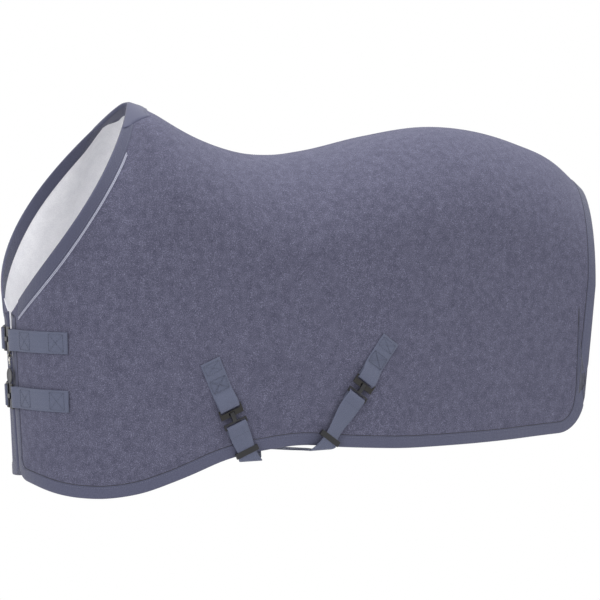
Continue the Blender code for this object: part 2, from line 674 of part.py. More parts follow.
def build_belly_strap(name, frame, start, course):
    """Webbing from the hook, past the near hem, under the belly and up the far side to its seam."""
    far_x, near_floor, far_floor, sag = course
    lift = STRAP_LIFT
    bend = [(start - FOLD_R * math.cos(a), lift - FOLD_R * math.sin(a)) for a in FOLD_TURNS]
    turned = [(start + 0.024, lift - FOLD_R), *bend, (start + 0.014, lift + 0.0022), (start + 0.030, lift)]
    down = frame(1.0, 0.0, 0.0) - frame(0.0, 0.0, 0.0)
    reach = (frame(0, 0, lift)[2] - near_floor) / -down[2] - HEM_TURN_R
    turned.append((reach, lift))
    route = [frame(d, 0.0, n) for d, n in turned]
    far_s, far_v = place(far_x, far_floor + 0.045)
    far_out = mirrored(normal(far_s, far_v))
    leave = mirrored(surface(far_s, far_v)) + far_out * lift
    entry = route[-1]
    heading = (leave - entry) * np.array((1.0, 1.0, 0.0))
    heading /= np.linalg.norm(heading)
    for k in range(1, 6):
        a = math.pi / 2 * k / 6
        route.append(entry + HEM_TURN_R * ((1 - math.cos(a)) * heading + math.sin(a) * down))
    span_start = entry + HEM_TURN_R * (heading + down)
    span_end = np.array((leave[0], leave[1], far_floor)) - FAR_TURN_R * heading
    for k in range(9):
        u = k / 8
        dip = np.array((0.0, 0.0, 4 * sag * u * (1 - u)))
        route.append(span_start + (span_end - span_start) * u - dip)
    for k in range(1, 7):
        a = math.pi / 2 * k / 6
        ahead = span_end + FAR_TURN_R * heading * math.sin(a)
        route.append(ahead + np.array((0.0, 0.0, FAR_TURN_R * (1 - math.cos(a)))))
    sewn = SHELL_T + 3 * LAYER_GAP + TAPE_T + WEBBING_T / 2
    for rise, height in ((0.030, lift), (0.060, lift * 0.7), (0.090, sewn), (0.180, sewn)):
        spot = surface(*place(far_x, far_floor + rise))
        route.append(mirrored(spot) + far_out * height)
    first = frame(0.0, 1.0, 0.0) - frame(0.0, 0.0, 0.0)
    first = first * math.copysign(1.0, first[0])
    hem_way = np.cross((0.0, 0.0, 1.0), frame(0.0, 0.0, 1.0) - frame(0.0, 0.0, 0.0))
    hem_way = hem_way * math.copysign(1.0, hem_way[0])
    far_way = np.cross((0.0, 0.0, 1.0), far_out)
    far_way = far_way * math.copysign(1.0, far_way[0])
    fold, level_end = len(turned) - 1, len(turned) + 14
    skewed = {}
    for i in range(fold, len(route)):
        t = min(max((i - fold - 6) / (level_end - fold - 6), 0.0), 1.0)
        skewed[i] = hem_way * (1 - t) + far_way * t
    swept(f"{name}_belly_strap", ribbon_rings(route, first, WEBBING_W, WEBBING_T, skewed), "webbing")
    build_far_patch(name, far_x, far_floor, far_out)
    askew = abs(first[2]) / math.hypot(first[0], first[1]) * WEBBING_W / 2
    build_slider(name, frame, reach - askew)


def build_far_patch(name, far_x, far_floor, out):
    """The reinforcement under the strap's sewn end on the far side."""
    rings = []
    along = np.cross((0.0, 0.0, 1.0), out)
    for rise in (0.086, 0.188):
        p = mirrored(surface(*place(far_x, far_floor + rise))) + out * (SHELL_T + LAYER_GAP + TAPE_T / 2)
        half, thick = FAR_PATCH_HALF_W * along, out * TAPE_T / 2
        rings.append([p - half - thick, p + half - thick, p + half + thick, p - half + thick])
    swept(f"{name}_far_patch", rings, "webbing")


def build_slider(name, frame, reach):
    """The keeper that slides on the strap just above where it turns under the hem."""
    wall = 0.0020
    room = WEBBING_T / 2 + CLIP_GAP
    profile = rectangle(-CLIP_HALF_W, CLIP_HALF_W, STRAP_LIFT - room - wall, STRAP_LIFT + room + wall)
    hole = rectangle(-SLOT_HALF_W, SLOT_HALF_W, STRAP_LIFT - room, STRAP_LIFT + room)

    def turned(w, n, d):
        return frame(d, w, n)

    prism(f"{name}_strap_slider", profile, [hole], reach - SLIDER_L, reach - 0.0005, turned, "black_metal",
          origin=frame(reach, 0.0, STRAP_LIFT))


def chest_frame(z):
    """The frame of a chest clip: d runs from the near side to the far side across the front."""
    s, v = FRONT_S, place_on_front(z)
    front = surface(s, v) * np.array((1.0, 0.0, 1.0))
    lean = surface(s, v + 0.01) - surface(s, v - 0.01)
    out = np.cross(np.array((0.0, 1.0, 0.0)), lean)
    out = out * (-1.0 if out[0] > 0 else 1.0)
    return flat_frame(front - np.array((0.0, CHEST_CLIP_START, 0.0)), np.array((0.0, 1.0, 0.0)), out)


def place_on_front(z):
    """v of the front edge at a height."""
    low, high = 0.0, 1.0
    for _ in range(40):
        middle = (low + high) / 2
        if surface(FRONT_S, middle)[2] > z:
            low = middle
        else:
            high = middle
    return low


def cloth_route(z, start, end, height, count):
    """Points over the near side's cloth at one height, between two distances from the centre line."""
    route = []
    for k in range(count):
        y = start + (end - start) * k / (count - 1)
        s = FRONT_SHARE * math.asin(y / FLANK_HALF_WIDTH) / (math.pi / 2)
        low, high = 0.0, 1.0
        for _ in range(40):
            middle = (low + high) / 2
            if surface(s, middle)[2] > z:
                low = middle
            else:
                high = middle
        out = normal(s, low)
        out = out * np.array((1.0, 1.0, 0.0))
        past_binding = min(max((y - CHEST_TAB_LEVEL) / BINDING_W, 0.0), 1.0)
        off = height - CHEST_TAB_SETTLE * past_binding
        route.append(surface(s, low) + out / np.linalg.norm(out) * off)
    return route


def build_chest_closure(name, z, charm):
    frame = chest_frame(z)
    up = frame(0.0, 1.0, 0.0) - frame(0.0, 0.0, 0.0)
    loop_plate(f"{name}_chest_loop", frame, charm)
    end = hook_and_gate(f"{name}_chest", frame, HOOK_START)
    inner = SHELL_T + TAPE_T + TAPE_CLEARANCE + 4 * LAYER_GAP + WEBBING_T / 2
    outer = inner + WEBBING_T + LAYER_GAP
    bend = [frame(d, 0.0, n) for d, n in hairpin(0.0, STRAP_LIFT, 0.0)[1:-1]]
    near = cloth_route(z, CHEST_TAB_REACH, CHEST_TAB_LEVEL, outer, 9) + bend + cloth_route(z, CHEST_TAB_LEVEL, CHEST_TAB_REACH - 0.012, inner, 9)
    swept(f"{name}_chest_tab", ribbon_rings(near, up, WEBBING_W, WEBBING_T), "webbing")
    far_bend = [frame(end - FOLD_R * math.cos(a), 0.0, STRAP_LIFT + FOLD_R * math.sin(a)) for a in FOLD_TURNS]
    start = far_bend[0][1] + 0.022
    over = [mirrored(p) for p in cloth_route(z, CHEST_TAB_REACH, start, outer, 8)]
    under = [mirrored(p) for p in cloth_route(z, start, CHEST_TAB_REACH - 0.012, inner, 8)]
    swept(f"{name}_chest_far_strap", ribbon_rings(over + far_bend + under, up, WEBBING_W, WEBBING_T), "webbing")
    return frame


# ---------------------------------------------------------------- charm
def arc_route(centre, radius, first, last, count):
    """Points of a bent wire in the plane across y."""
    route = []
    for k in range(count):
        a = math.radians(first + (last - first) * k / (count - 1))
        route.append(np.array(centre) + radius * np.array((math.cos(a), 0.0, math.sin(a))))
    return route


def build_charm(frame):
    middle, reach = eye_place()
    bar = frame(middle, CLIP_HALF_W + reach + reach, STRAP_LIFT)
    if bar[2] > frame(middle, 0.0, STRAP_LIFT)[2]:
        bar = frame(middle, -(CLIP_HALF_W + 2 * reach), STRAP_LIFT)
    arc = arc_route(bar, CHARM_HOOK_R, 215.0, -90.0, 15)
    foot = bar - np.array((0.0, 0.0, CHARM_HOOK_R + 0.004))
    hook = swept("charm_snap", tube_rings(arc + [foot], CHARM_WIRE_R), "bright_metal", origin=bar)
    barrel_top, barrel_low = foot[2] + 0.0015, foot[2] - 0.0048
    bore_r, wall_r = 0.00175, 0.0033
    rings = []
    for radius, height in ((0.0, barrel_top), (wall_r, barrel_top), (wall_r, barrel_low), (bore_r, barrel_low),
                           (bore_r, barrel_top - 0.0022), (0.0, barrel_top - 0.0022)):
        rings.append((radius, height))
    barrel = turned_solid("charm_barrel", rings, foot, "bright_metal")
    unite(hook, barrel, "charm_snap_barrel")
    eye_r, wire = 0.0042, 0.0011
    stem_r = bore_r - CLIP_GAP
    eye_middle = np.array((foot[0], foot[1], barrel_low - 0.0006 - eye_r - wire))
    loop = [eye_middle + eye_r * np.array((0.0, math.cos(a), math.sin(a))) for a in
            [2 * math.pi * k / 14 for k in range(14)]]
    swivel = swept("charm_swivel", closed_tube(loop, wire), "bright_metal", closed=True, origin=eye_middle)
    stem = turned_solid("charm_stem", [(0.0, barrel_top - 0.0028), (stem_r, barrel_top - 0.0028),
                                       (stem_r, eye_middle[2] + eye_r), (0.0, eye_middle[2] + eye_r)], foot, "bright_metal")
    unite(swivel, stem, "charm_swivel_stem")
    build_charm_disc(eye_middle, eye_r, wire)
    top = bar + CHARM_HOOK_R * np.array((math.cos(math.radians(215)), 0.0, math.sin(math.radians(215))))
    gate_top = top[2] - CHARM_WIRE_R - 0.0007
    low = foot[2] + 0.0018
    half = 0.0009
    points = []
    for height in (low, gate_top):
        x = top[0] if height == gate_top else foot[0] - CHARM_WIRE_R - 0.0016
        points.append([(x - half, bar[1] - 0.0012, height), (x + half, bar[1] - 0.0012, height),
                       (x + half, bar[1] + 0.0012, height), (x - half, bar[1] + 0.0012, height)])
    swept("charm_gate", points, "bright_metal", origin=(points[0][0][0] + half, bar[1], low))


def closed_tube(route, radius, sides=8):
    """Rings of a bar bent into a closed loop in the plane across x."""
    centre = sum(route) / len(route)
    rings = []
    for p in route:
        outward = (p - centre) / np.linalg.norm(p - centre)
        turns = [2 * math.pi * k / sides for k in range(sides)]
        rings.append([p + radius * (math.cos(a) * outward + math.sin(a) * np.array((1.0, 0.0, 0.0))) for a in turns])
    return rings


def turned_solid(name, profile, axis, finish, sides=16):
    """A solid turned about the vertical through axis; the profile starts and ends on the axis."""
    points, faces, rows = [], [], []
    for radius, height in profile:
        if radius == 0.0:
            rows.append([len(points)] * sides)
            points.append((axis[0], axis[1], height))
            continue
        rows.append([len(points) + k for k in range(sides)])
        for k in range(sides):
            a = 2 * math.pi * k / sides
            points.append((axis[0] + radius * math.cos(a), axis[1] + radius * math.sin(a), height))
    for upper, lower in zip(rows, rows[1:]):
        for k in range(sides):
            corners = [upper[k], upper[(k + 1) % sides], lower[(k + 1) % sides], lower[k]]
            faces.append(tuple(dict.fromkeys(corners)))
    return add_object(name, points, faces, finish)


def build_charm_disc(eye, eye_r, wire):
    """The round tag and the leather loop that hangs it from the swivel's eye."""
    half_w, half_t = 0.0050, 0.0006
    fold = (wire + half_t) / math.cos(math.pi / 12) + 2.5 * CLIP_GAP
    low_bar = eye - np.array((0.0, 0.0, eye_r))
    bend = [low_bar + fold * np.array((math.cos(a), 0.0, math.sin(a))) for a in
            [math.pi * k / 6 for k in range(7)]]
    end = low_bar[2] - 0.0050
    route = [np.array((low_bar[0] + fold, eye[1], end)), *bend, np.array((low_bar[0] - fold, eye[1], end))]
    widths = 2 * min(half_w, 0.4 * eye_r)
    swept("charm_strap", ribbon_rings(route, (0.0, 1.0, 0.0), widths, 2 * half_t), "webbing", origin=low_bar)
    centre = np.array((low_bar[0], eye[1], end - CHARM_DISC_R - CLIP_GAP))
    rings = []
    for offset, radius in ((-0.5, 0.94), (-0.36, 1.0), (0.36, 1.0), (0.5, 0.94)):
        ring = [centre + np.array((offset * CHARM_DISC_T, radius * CHARM_DISC_R * math.cos(a),
                                   radius * CHARM_DISC_R * math.sin(a))) for a in
                [2 * math.pi * k / 32 for k in range(32)]]
        rings.append(ring)
    swept("charm_disc", rings, "disc", origin=low_bar)


def main():
    for thing in list(bpy.data.objects):
        bpy.data.objects.remove(thing, do_unlink=True)
    build_panels()
    build_bindings()
    build_withers_patch()
    build_seam_tape()
    for closure in BELLY_CLOSURES:
        build_belly_closure(*closure)
    for name, z, charm in CHEST_CLOSURES:
        frame = build_chest_closure(name, z, charm)
        if charm:
            build_charm(frame)


main()
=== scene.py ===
"""Fly sheet for a horse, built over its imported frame: cloth sides with a light lining, bound edges,
a withers patch, webbing fastenings with metal clips, and a small charm on a trigger snap.

Metres. +X runs to the tail, -Y is the near side with the clips, +Z is up.
"""
import functools
import json
import math

import bmesh
import bpy
import numpy as np
from bpy.props import FloatVectorProperty, FloatProperty, PointerProperty
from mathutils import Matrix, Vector


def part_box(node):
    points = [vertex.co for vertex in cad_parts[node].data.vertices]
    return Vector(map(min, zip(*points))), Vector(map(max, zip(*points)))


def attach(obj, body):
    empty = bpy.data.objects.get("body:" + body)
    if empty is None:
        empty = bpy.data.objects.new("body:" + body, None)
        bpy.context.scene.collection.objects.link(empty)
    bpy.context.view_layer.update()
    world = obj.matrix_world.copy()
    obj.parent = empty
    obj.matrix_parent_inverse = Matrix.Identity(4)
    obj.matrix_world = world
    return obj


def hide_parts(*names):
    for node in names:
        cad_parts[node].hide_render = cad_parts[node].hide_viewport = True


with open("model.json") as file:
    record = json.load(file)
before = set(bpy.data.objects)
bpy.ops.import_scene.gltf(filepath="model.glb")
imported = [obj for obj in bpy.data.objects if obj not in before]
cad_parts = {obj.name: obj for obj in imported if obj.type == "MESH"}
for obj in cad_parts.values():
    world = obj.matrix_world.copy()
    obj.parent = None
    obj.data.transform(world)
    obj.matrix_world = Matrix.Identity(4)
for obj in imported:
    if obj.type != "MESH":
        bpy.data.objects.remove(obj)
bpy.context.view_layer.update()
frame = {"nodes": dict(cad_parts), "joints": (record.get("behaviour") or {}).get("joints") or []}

bl_info = {
    "name": "Fly Sheet",
    "version": (1, 0, 0),
    "blender": (4, 5, 0),
    "location": "View3D > Sidebar > Fly Sheet",
    "description": "Cloth, tapes, webbing, clips and charm of a fitted horse sheet over its frame",
    "category": "Add Mesh",
}

BODY = "sheet"  # the frame's body that holds everything that doesn't move on its own

# ---------------------------------------------------------------- the sheet's measures, as in the frame
CHEST_X = -0.645
WITHERS_X = -0.350
SHOULDER_X = -0.280
TAIL_X = 0.930
CHEST_TOP_Z = -0.370
WITHERS_Z = 0.130
FLANK_HALF_WIDTH = 0.270
BARREL_BULGE = 0.020
REAR_TAPER = 0.060
NECK_HALF_WIDTH = 0.200
NECK_ROUNDING = 0.30
CROWN_DROP = 0.250
CROWN_SHARE = 0.45
REAR_SWEEP = 0.085
HEM_REAR_SWEEP = 0.028
CHEST_TUCK = 0.020
FRONT_CORNER_R = 0.050
REAR_CORNER_R = 0.090
FRONT_HALF_GAP = 0.008
SEAM_GAP = 0.0004
BACK_LINE = ((-0.35, 0.130), (-0.27, 0.080), (-0.16, 0.031), (-0.04, 0.003), (0.02, 0.001), (0.12, 0.013),
             (0.30, 0.052), (0.45, 0.074), (0.56, 0.070), (0.72, 0.035), (0.84, -0.012), (0.93, -0.080))
HEM_LINE = ((-0.645, -0.748), (-0.60, -0.766), (-0.52, -0.776), (-0.43, -0.766), (-0.33, -0.736),
            (-0.22, -0.699), (-0.11, -0.681), (0.0, -0.675), (0.12, -0.686), (0.30, -0.699),
            (0.50, -0.702), (0.93, -0.700))
SHELL_T = 0.0020
LINING_T = 0.0012
LAYER_GAP = 0.0003
BINDING_W = 0.026
PATCH_W = 0.050
WEBBING_W = 0.050
WEBBING_T = 0.0016
TAB_LENGTH = 0.118
STRAP_LIFT = 0.0105
CLIP_GAP = 0.0003
CLIP_T = 0.0030
CLIP_RAIL = 0.0035
CLIP_SLOT = 0.0062
HOOK_REACH = 0.0220
BELLY_CLOSURES = (("front", -0.260, -0.467, 23.0, (0.100, -0.706, -0.700, 0.008)),
                  ("rear", 0.208, -0.432, -39.0, (-0.230, -0.690, -0.719, 0.003)))
HEM_TURN_R = 0.008
FAR_TURN_R = 0.016
FAR_PATCH_HALF_W = 0.030
CHEST_CLOSURES = (("upper", -0.425), ("lower", -0.558))
CHEST_TAB_REACH = 0.170
CHEST_TAB_SETTLE = 0.0014
CHEST_TAB_LEVEL = 0.050
CHEST_CLIP_START = 0.022
FOLD_R = (math.hypot(CLIP_T, CLIP_RAIL) + WEBBING_T) / 2 / math.cos(math.pi / 12) + CLIP_GAP
FOLD_TURNS = [math.pi / 2 - math.pi * k / 6 for k in range(7)]
HOOK_START = -CLIP_RAIL / 2 + 2 * CLIP_RAIL + CLIP_SLOT
CLIP_END = HOOK_START + CLIP_GAP + HOOK_REACH + 2 * CLIP_RAIL + CLIP_SLOT - CLIP_RAIL / 2
CLOTH_LOW = -LAYER_GAP - LINING_T


def smooth_line(points):
    """A smooth curve z(x) through a few chosen points."""
    xs, zs = np.array(points, float).T
    slope = np.gradient(zs, xs)

    def at(x):
        x = min(max(x, xs[0]), xs[-1])
        i = min(max(int(np.searchsorted(xs, x)) - 1, 0), len(xs) - 2)
        h = xs[i + 1] - xs[i]
        t = (x - xs[i]) / h
        ends = (2 * t**3 - 3 * t**2 + 1) * zs[i] + (3 * t**2 - 2 * t**3) * zs[i + 1]
        return ends + h * ((t**3 - 2 * t**2 + t) * slope[i] + (t**3 - t**2) * slope[i + 1])

    return at


back_line = smooth_line(BACK_LINE)
hem_line = smooth_line(HEM_LINE)
FRONT_DEPTH = SHOULDER_X - CHEST_X
FRONT_SHARE = 0.34
WITHERS_S = FRONT_SHARE * math.acos((SHOULDER_X - WITHERS_X) / FRONT_DEPTH) / (math.pi / 2)
FRONT_S = FRONT_SHARE * math.asin(FRONT_HALF_GAP / FLANK_HALF_WIDTH) / (math.pi / 2)
PATCH_S = 0.885 * WITHERS_S


def plan(s):
    """x and half width of the hanging cloth seen from above; s runs from the front edge to the rear."""
    if s < FRONT_SHARE:
        angle = s / FRONT_SHARE * math.pi / 2
        return SHOULDER_X - FRONT_DEPTH * math.cos(angle), FLANK_HALF_WIDTH * math.sin(angle)
    t = (s - FRONT_SHARE) / (1 - FRONT_SHARE)
    half_width = FLANK_HALF_WIDTH + BARREL_BULGE * math.sin(math.pi * t) - REAR_TAPER * t**3
    return SHOULDER_X + (TAIL_X - SHOULDER_X) * t, half_width


def neck_share(x):
    """How far up the neck opening the edge is at x: 0 at the chest, 1 at the withers."""
    along = (x - CHEST_X) / (WITHERS_X - CHEST_X)
    span = math.hypot(1, NECK_ROUNDING) - NECK_ROUNDING
    return math.sqrt(max((along * span + NECK_ROUNDING) ** 2 - NECK_ROUNDING**2, 0.0))


def rib(s):
    """Top half width, top height, flank half width, how directly the rib falls, and hem height."""
    x, half_width = plan(s)
    if x < WITHERS_X:
        q = neck_share(x)
        top_width = NECK_HALF_WIDTH * math.sin(math.pi * min(q, 1.0)) ** 0.8
        top = CHEST_TOP_Z + (WITHERS_Z - CHEST_TOP_Z) * q
    else:
        top_width = 0.0
        top = back_line(x)
    steepness = 1.0 if s < FRONT_SHARE / 4 else min(1.0, top_width / (0.6 * NECK_HALF_WIDTH))
    bottom = hem_line(x)
    from_front = FLANK_HALF_WIDTH * s / FRONT_SHARE * math.pi / 2
    if from_front < FRONT_CORNER_R:
        bottom += FRONT_CORNER_R - math.sqrt(FRONT_CORNER_R**2 - (FRONT_CORNER_R - from_front) ** 2)
    from_rear = (1 - s) / (1 - FRONT_SHARE) * (TAIL_X - REAR_SWEEP - HEM_REAR_SWEEP - SHOULDER_X)
    if from_rear < REAR_CORNER_R:
        into = min(REAR_CORNER_R - from_rear, REAR_CORNER_R)
        bottom += REAR_CORNER_R - math.sqrt(REAR_CORNER_R**2 - into**2)
    return x, half_width, top_width, top, steepness, bottom


def surface(s, v):
    """A point of the near side's cloth; v runs from the top edge to the hem."""
    x, half_width, top_width, top, steepness, bottom = rib(s)
    crown = min(CROWN_DROP, 0.55 * (top - bottom))
    angle = min(max(v, -0.1) / CROWN_SHARE, 1.0) * math.pi / 2
    y = top_width + (half_width - top_width) * math.sin(angle)
    z = top - crown * ((1 - steepness) * (1 - math.cos(angle)) + steepness * angle / (math.pi / 2))
    below = max(v - CROWN_SHARE, 0.0) / (1 - CROWN_SHARE)
    z -= (top - crown - bottom) * below
    if s > FRONT_SHARE:
        t = (s - FRONT_SHARE) / (1 - FRONT_SHARE)
        x -= t * (REAR_SWEEP * math.sin(angle) + HEM_REAR_SWEEP * below)
    else:
        x += CHEST_TUCK * v * (1 - s / FRONT_SHARE) ** 2
    return np.array((x, -y, z))


def slopes(s, v):
    """How the surface point moves with s and with v."""
    step = 0.002
    above, below = max(v - step, 0.0), min(v + step, 1.0)
    fore, aft = s - step, s + step
    if s < WITHERS_S:
        aft = min(aft, WITHERS_S - step / 10)
    else:
        fore = max(fore, WITHERS_S)
    along = (surface(aft, v) - surface(fore, v)) / (aft - fore)
    return along, (surface(s, below) - surface(s, above)) / (below - above)


def unit(vector):
    return vector / np.linalg.norm(vector)


def normal(s, v):
    along, down = slopes(s, v)
    return unit(np.cross(down, along))


def step_on(s, v, move):
    """The parameters reached by a short move, in metres, along the cloth."""
    ds, dv = np.linalg.lstsq(np.array(slopes(s, v)).T, move, rcond=None)[0]
    return s + ds, v + dv


def newton(target, axes, start, limits):
    """The parameters of the point whose two named coordinates match the target's."""
    s, v = start
    a, b = axes
    for _ in range(40):
        gap = target - surface(s, v)
        along, down = slopes(s, v)
        matrix = np.array(((along[a], down[a]), (along[b], down[b])))
        ds, dv = np.linalg.solve(matrix, (gap[a], gap[b]))
        s = min(max(s + 0.7 * ds, limits[0]), limits[1])
        v = min(max(v + 0.7 * dv, limits[2]), limits[3])
    return s, v


def place(x, z):
    """The parameters of the near side's point at x and z."""
    return newton(np.array((x, 0.0, z)), (0, 2), (0.5, 0.7), (0.01, 0.99, 0.02, 0.98))


def over_plan(x, y):
    """The parameters of the crown's point over a place seen from above."""
    return newton(np.array((x, -y, 0.0)), (0, 1), (WITHERS_S + 0.02, 0.1), (0.10, 0.9, 0.0, 0.5))


def at_height(s, z):
    """v of the point at a height on the rib at s."""
    low, high = 0.0, 1.0
    for _ in range(40):
        middle = (low + high) / 2
        if surface(s, middle)[2] > z:
            low = middle
        else:
            high = middle
    return low


def mirrored(point):
    """A point, or a row of them, on the other side."""
    return np.array(point) * (1.0, -1.0, 1.0)


def run_along(points):
    """How far along a row of points each one is."""
    return np.concatenate(((0.0,), np.cumsum(np.linalg.norm(np.diff(points, axis=0), axis=1))))


# ---------------------------------------------------------------- the cloth's fine surface
S_STEPS = 200
V_STEPS = 100
CREASE_SPREAD = 0.055
CREASE_ROUNDS = 24
FOLD_DEPTH = 0.0042
FRONT_CALM = 0.12  # the cloth lies flat this far behind its front edge, under the chest fastenings
CALM_R = 0.085  # and this far round each belly fastening


def spaced_ribs():
    """s of the fine ribs, at nearly equal steps along the hem and the flank."""
    tries = np.linspace(FRONT_S, 1.0, 900)
    run = np.zeros(len(tries) - 1)
    for v in (0.5, 1.0):
        run += np.linalg.norm(np.diff([surface(s, v) for s in tries], axis=0), axis=1)
    run = np.concatenate(((0.0,), np.cumsum(run)))
    return np.interp(np.linspace(0.0, run[-1], S_STEPS + 1), run, tries)


def belly_frame(x, z, lean):
    """A belly clip's origin, direction down the strap and direction off the cloth."""
    s, v = place(x, z)
    out = normal(s, v)
    lean = math.radians(lean)
    down = unit(slopes(s, v)[0]) * math.sin(lean) - np.array((0.0, 0.0, 1.0)) * math.cos(lean)
    return clip_frame(surface(s, v) + down * TAB_LENGTH, down, out)


def clip_frame(origin, down, out):
    """A clip's own frame: metres along the strap, across it and off the cloth, turned into a point."""
    down, out = unit(down), unit(out)
    across = np.cross(out, down)

    def point(d, w, n):
        return origin + down * d + across * w + out * n

    return point


def ways(point):
    """A clip frame's directions: down the strap, across it and off the cloth."""
    return [point(*axis) - point(0.0, 0.0, 0.0) for axis in np.eye(3)]


class Cloth:
    """The near side's surface as a fine grid of points and normals."""

    def __init__(self):
        self.s = spaced_ribs()
        self.v = np.linspace(0.0, 1.0, V_STEPS + 1)
        points = np.array([[surface(s, v) for v in self.v] for s in self.s])
        points = self.rounded(points)
        points = points + self.normals(points) * self.folds(points)[..., None]
        points[..., 1] = np.minimum(points[..., 1], -SEAM_GAP / 2)
        self.points = points
        self.out = self.normals(points)

    def rounded(self, points):
        """Rounds the two creases that the plain surface has, at the shoulder and the withers."""
        girth = run_along(points[:, V_STEPS // 2])
        share = np.zeros((len(self.s), len(self.v)))
        free_top = np.clip(self.v / 0.06, 0.0, 1.0)
        for crease, top in ((FRONT_SHARE, 1.0), (WITHERS_S, free_top)):
            middle = np.interp(crease, self.s, girth)
            share += np.exp(-(((girth - middle) / CREASE_SPREAD) ** 2))[:, None] * top
        share = np.clip(share, 0.0, 1.0)[1:-1, :, None]
        for _ in range(CREASE_ROUNDS):
            points[1:-1] += 0.5 * share * ((points[2:] + points[:-2]) / 2 - points[1:-1])
        return points

    def folds(self, points):
        """How far the cloth lies off its plain surface: slow folds that grow towards the hem."""
        x, z = points[..., 0], points[..., 2]
        wave = 0.55 * np.sin(8.6 * x + 3.5 * z + 0.6) + 0.3 * np.sin(19.0 * x - 7.0 * z)
        wave = wave + 0.15 * np.sin(37.0 * x + 13.0 * z + 2.0) - 0.25
        depth = FOLD_DEPTH * np.clip((0.05 - z) / 0.7, 0.0, 1.0)
        depth = depth * np.clip((x - CHEST_X - FRONT_CALM) / 0.12, 0.0, 1.0)
        for _, tab_x, tab_z, lean, course in BELLY_CLOSURES:
            point = belly_frame(tab_x, tab_z, lean)
            spots = [point(d, 0.0, 0.0) for d in np.linspace(-TAB_LENGTH, TAB_LENGTH, 9)]
            spots += [surface(*place(course[0], course[2] + rise)) for rise in (0.05, 0.11, 0.17)]
            for spot in spots:
                apart = np.hypot(x - spot[0], z - spot[2])
                depth = depth * np.clip((apart - CALM_R / 2) / CALM_R, 0.0, 1.0) ** 0.5
        return depth * wave

    def normals(self, points):
        along = np.gradient(points, axis=0)
        down = np.gradient(points, axis=1)
        out = np.cross(down, along)
        return out / np.maximum(np.linalg.norm(out, axis=2), 1e-12)[..., None]

    def at(self, s, v):
        """The point and the outward direction at s, v."""
        i = np.interp(s, self.s, np.arange(len(self.s)))
        j = min(max(v, 0.0), 1.0) * V_STEPS
        i0, j0 = min(int(i), S_STEPS - 1), min(int(j), V_STEPS - 1)
        a, b = i - i0, j - j0
        found = []
        for grid in (self.points, self.out):
            here = grid[i0, j0] * (1 - b) + grid[i0, j0 + 1] * b
            there = grid[i0 + 1, j0] * (1 - b) + grid[i0 + 1, j0 + 1] * b
            found.append(here * (1 - a) + there * a)
        return found[0], unit(found[1])

    def area(self):
        along = np.diff(self.points, axis=0)[:, :-1]
        down = np.diff(self.points, axis=1)[:-1]
        return float(np.linalg.norm(np.cross(along, down), axis=2).sum())


@functools.lru_cache(maxsize=1)
def cloth():
    return Cloth()


# ---------------------------------------------------------------- meshes
def show(name, points, faces, finish, nodes, slot, body=BODY, uvs=None, sharp=None, flip=False):
    """A shown piece in place of its CAD nodes: its mesh, material, smooth shading and body; the slot argument
    is not used.
    """
    for node in nodes:
        if node not in frame["nodes"]:
            raise RuntimeError(f"the frame has no node {node} for {name} to stand for")
    faces = [tuple(face) for face in faces]
    if flip:
        faces = [face[::-1] for face in faces]
    mesh = bpy.data.meshes.new(name)
    mesh.from_pydata([tuple(p) for p in points], [], faces)
    if uvs is not None:
        layer = mesh.uv_layers.new(name="UVMap")
        for corner in mesh.loops:
            layer.data[corner.index].uv = uvs[corner.vertex_index]
    mesh.materials.append(material(finish))
    mesh.shade_smooth()
    if sharp is not None:
        mesh.set_sharp_from_angle(angle=math.radians(sharp))
    piece = bpy.data.objects.new(name, mesh)
    bpy.context.scene.collection.objects.link(piece)
    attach(piece, body)
    if nodes:
        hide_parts(*nodes)
    return piece


def grid_faces(rows, columns, wrap=False):
    """Faces of a grid of points, its columns closed into rings when wrap is set."""
    faces = []
    for i in range(rows - 1):
        for j in range(columns if wrap else columns - 1):
            k = (j + 1) % columns
            faces.append((i * columns + j, i * columns + k, (i + 1) * columns + k, (i + 1) * columns + j))
    return faces


def slab(name, side, low, high, finish, node, coarse):
    """One layer of cloth of a side, as a closed sheet between two heights over the surface."""
    points, out = cloth().points[::coarse, ::coarse], cloth().out[::coarse, ::coarse]
    layers = []
    for height in (high, low):
        level = points + out * height
        level[..., 1] = np.minimum(level[..., 1], -SEAM_GAP / 2)
        layers.append(level.reshape(-1, 3))
    rows, columns = points.shape[:2]
    top = grid_faces(rows, columns)
    count = rows * columns
    faces = top + [tuple(k + count for k in reversed(face)) for face in top]
    rim = [(i, 0) for i in range(rows)] + [(rows - 1, j) for j in range(1, columns)]
    rim += [(i, columns - 1) for i in range(rows - 2, -1, -1)] + [(0, j) for j in range(columns - 2, 0, -1)]
    for (i, j), (k, m) in zip(rim, rim[1:] + rim[:1]):
        a, b = i * columns + j, k * columns + m
        faces.append((a, b, b + count, a + count))
    points = np.concatenate(layers)
    if side == "far":
        points = mirrored(points)
    return show(name, points, faces, finish, [node], finish, sharp=50, flip=side == "near")


def lofted(name, rings, finish, nodes, slot, body=BODY, uvs=None, closed=False, sharp=None):
    """A skin over a row of equal rings of points, capped at both ends unless it closes on itself."""
    count = len(rings[0])
    points = np.array(rings, float).reshape(-1, 3)
    faces = grid_faces(len(rings), count, wrap=True)
    if closed:
        last = (len(rings) - 1) * count
        faces += [(last + k, last + (k + 1) % count, (k + 1) % count, k) for k in range(count)]
    else:
        faces += [tuple(range(count - 1, -1, -1)), tuple(range(len(points) - count, len(points)))]
    return show(name, points, faces, finish, nodes, slot, body, uvs, sharp, flip=not outward(points, faces))


def outward(points, faces):
    """Whether the faces of a closed skin point out, by the sign of its volume."""
    volume = 0.0
    for face in faces:
        first = points[face[0]]
        for a, b in zip(face[1:], face[2:]):
            volume += float(np.dot(first, np.cross(points[a], points[b])))
    return volume > 0.0


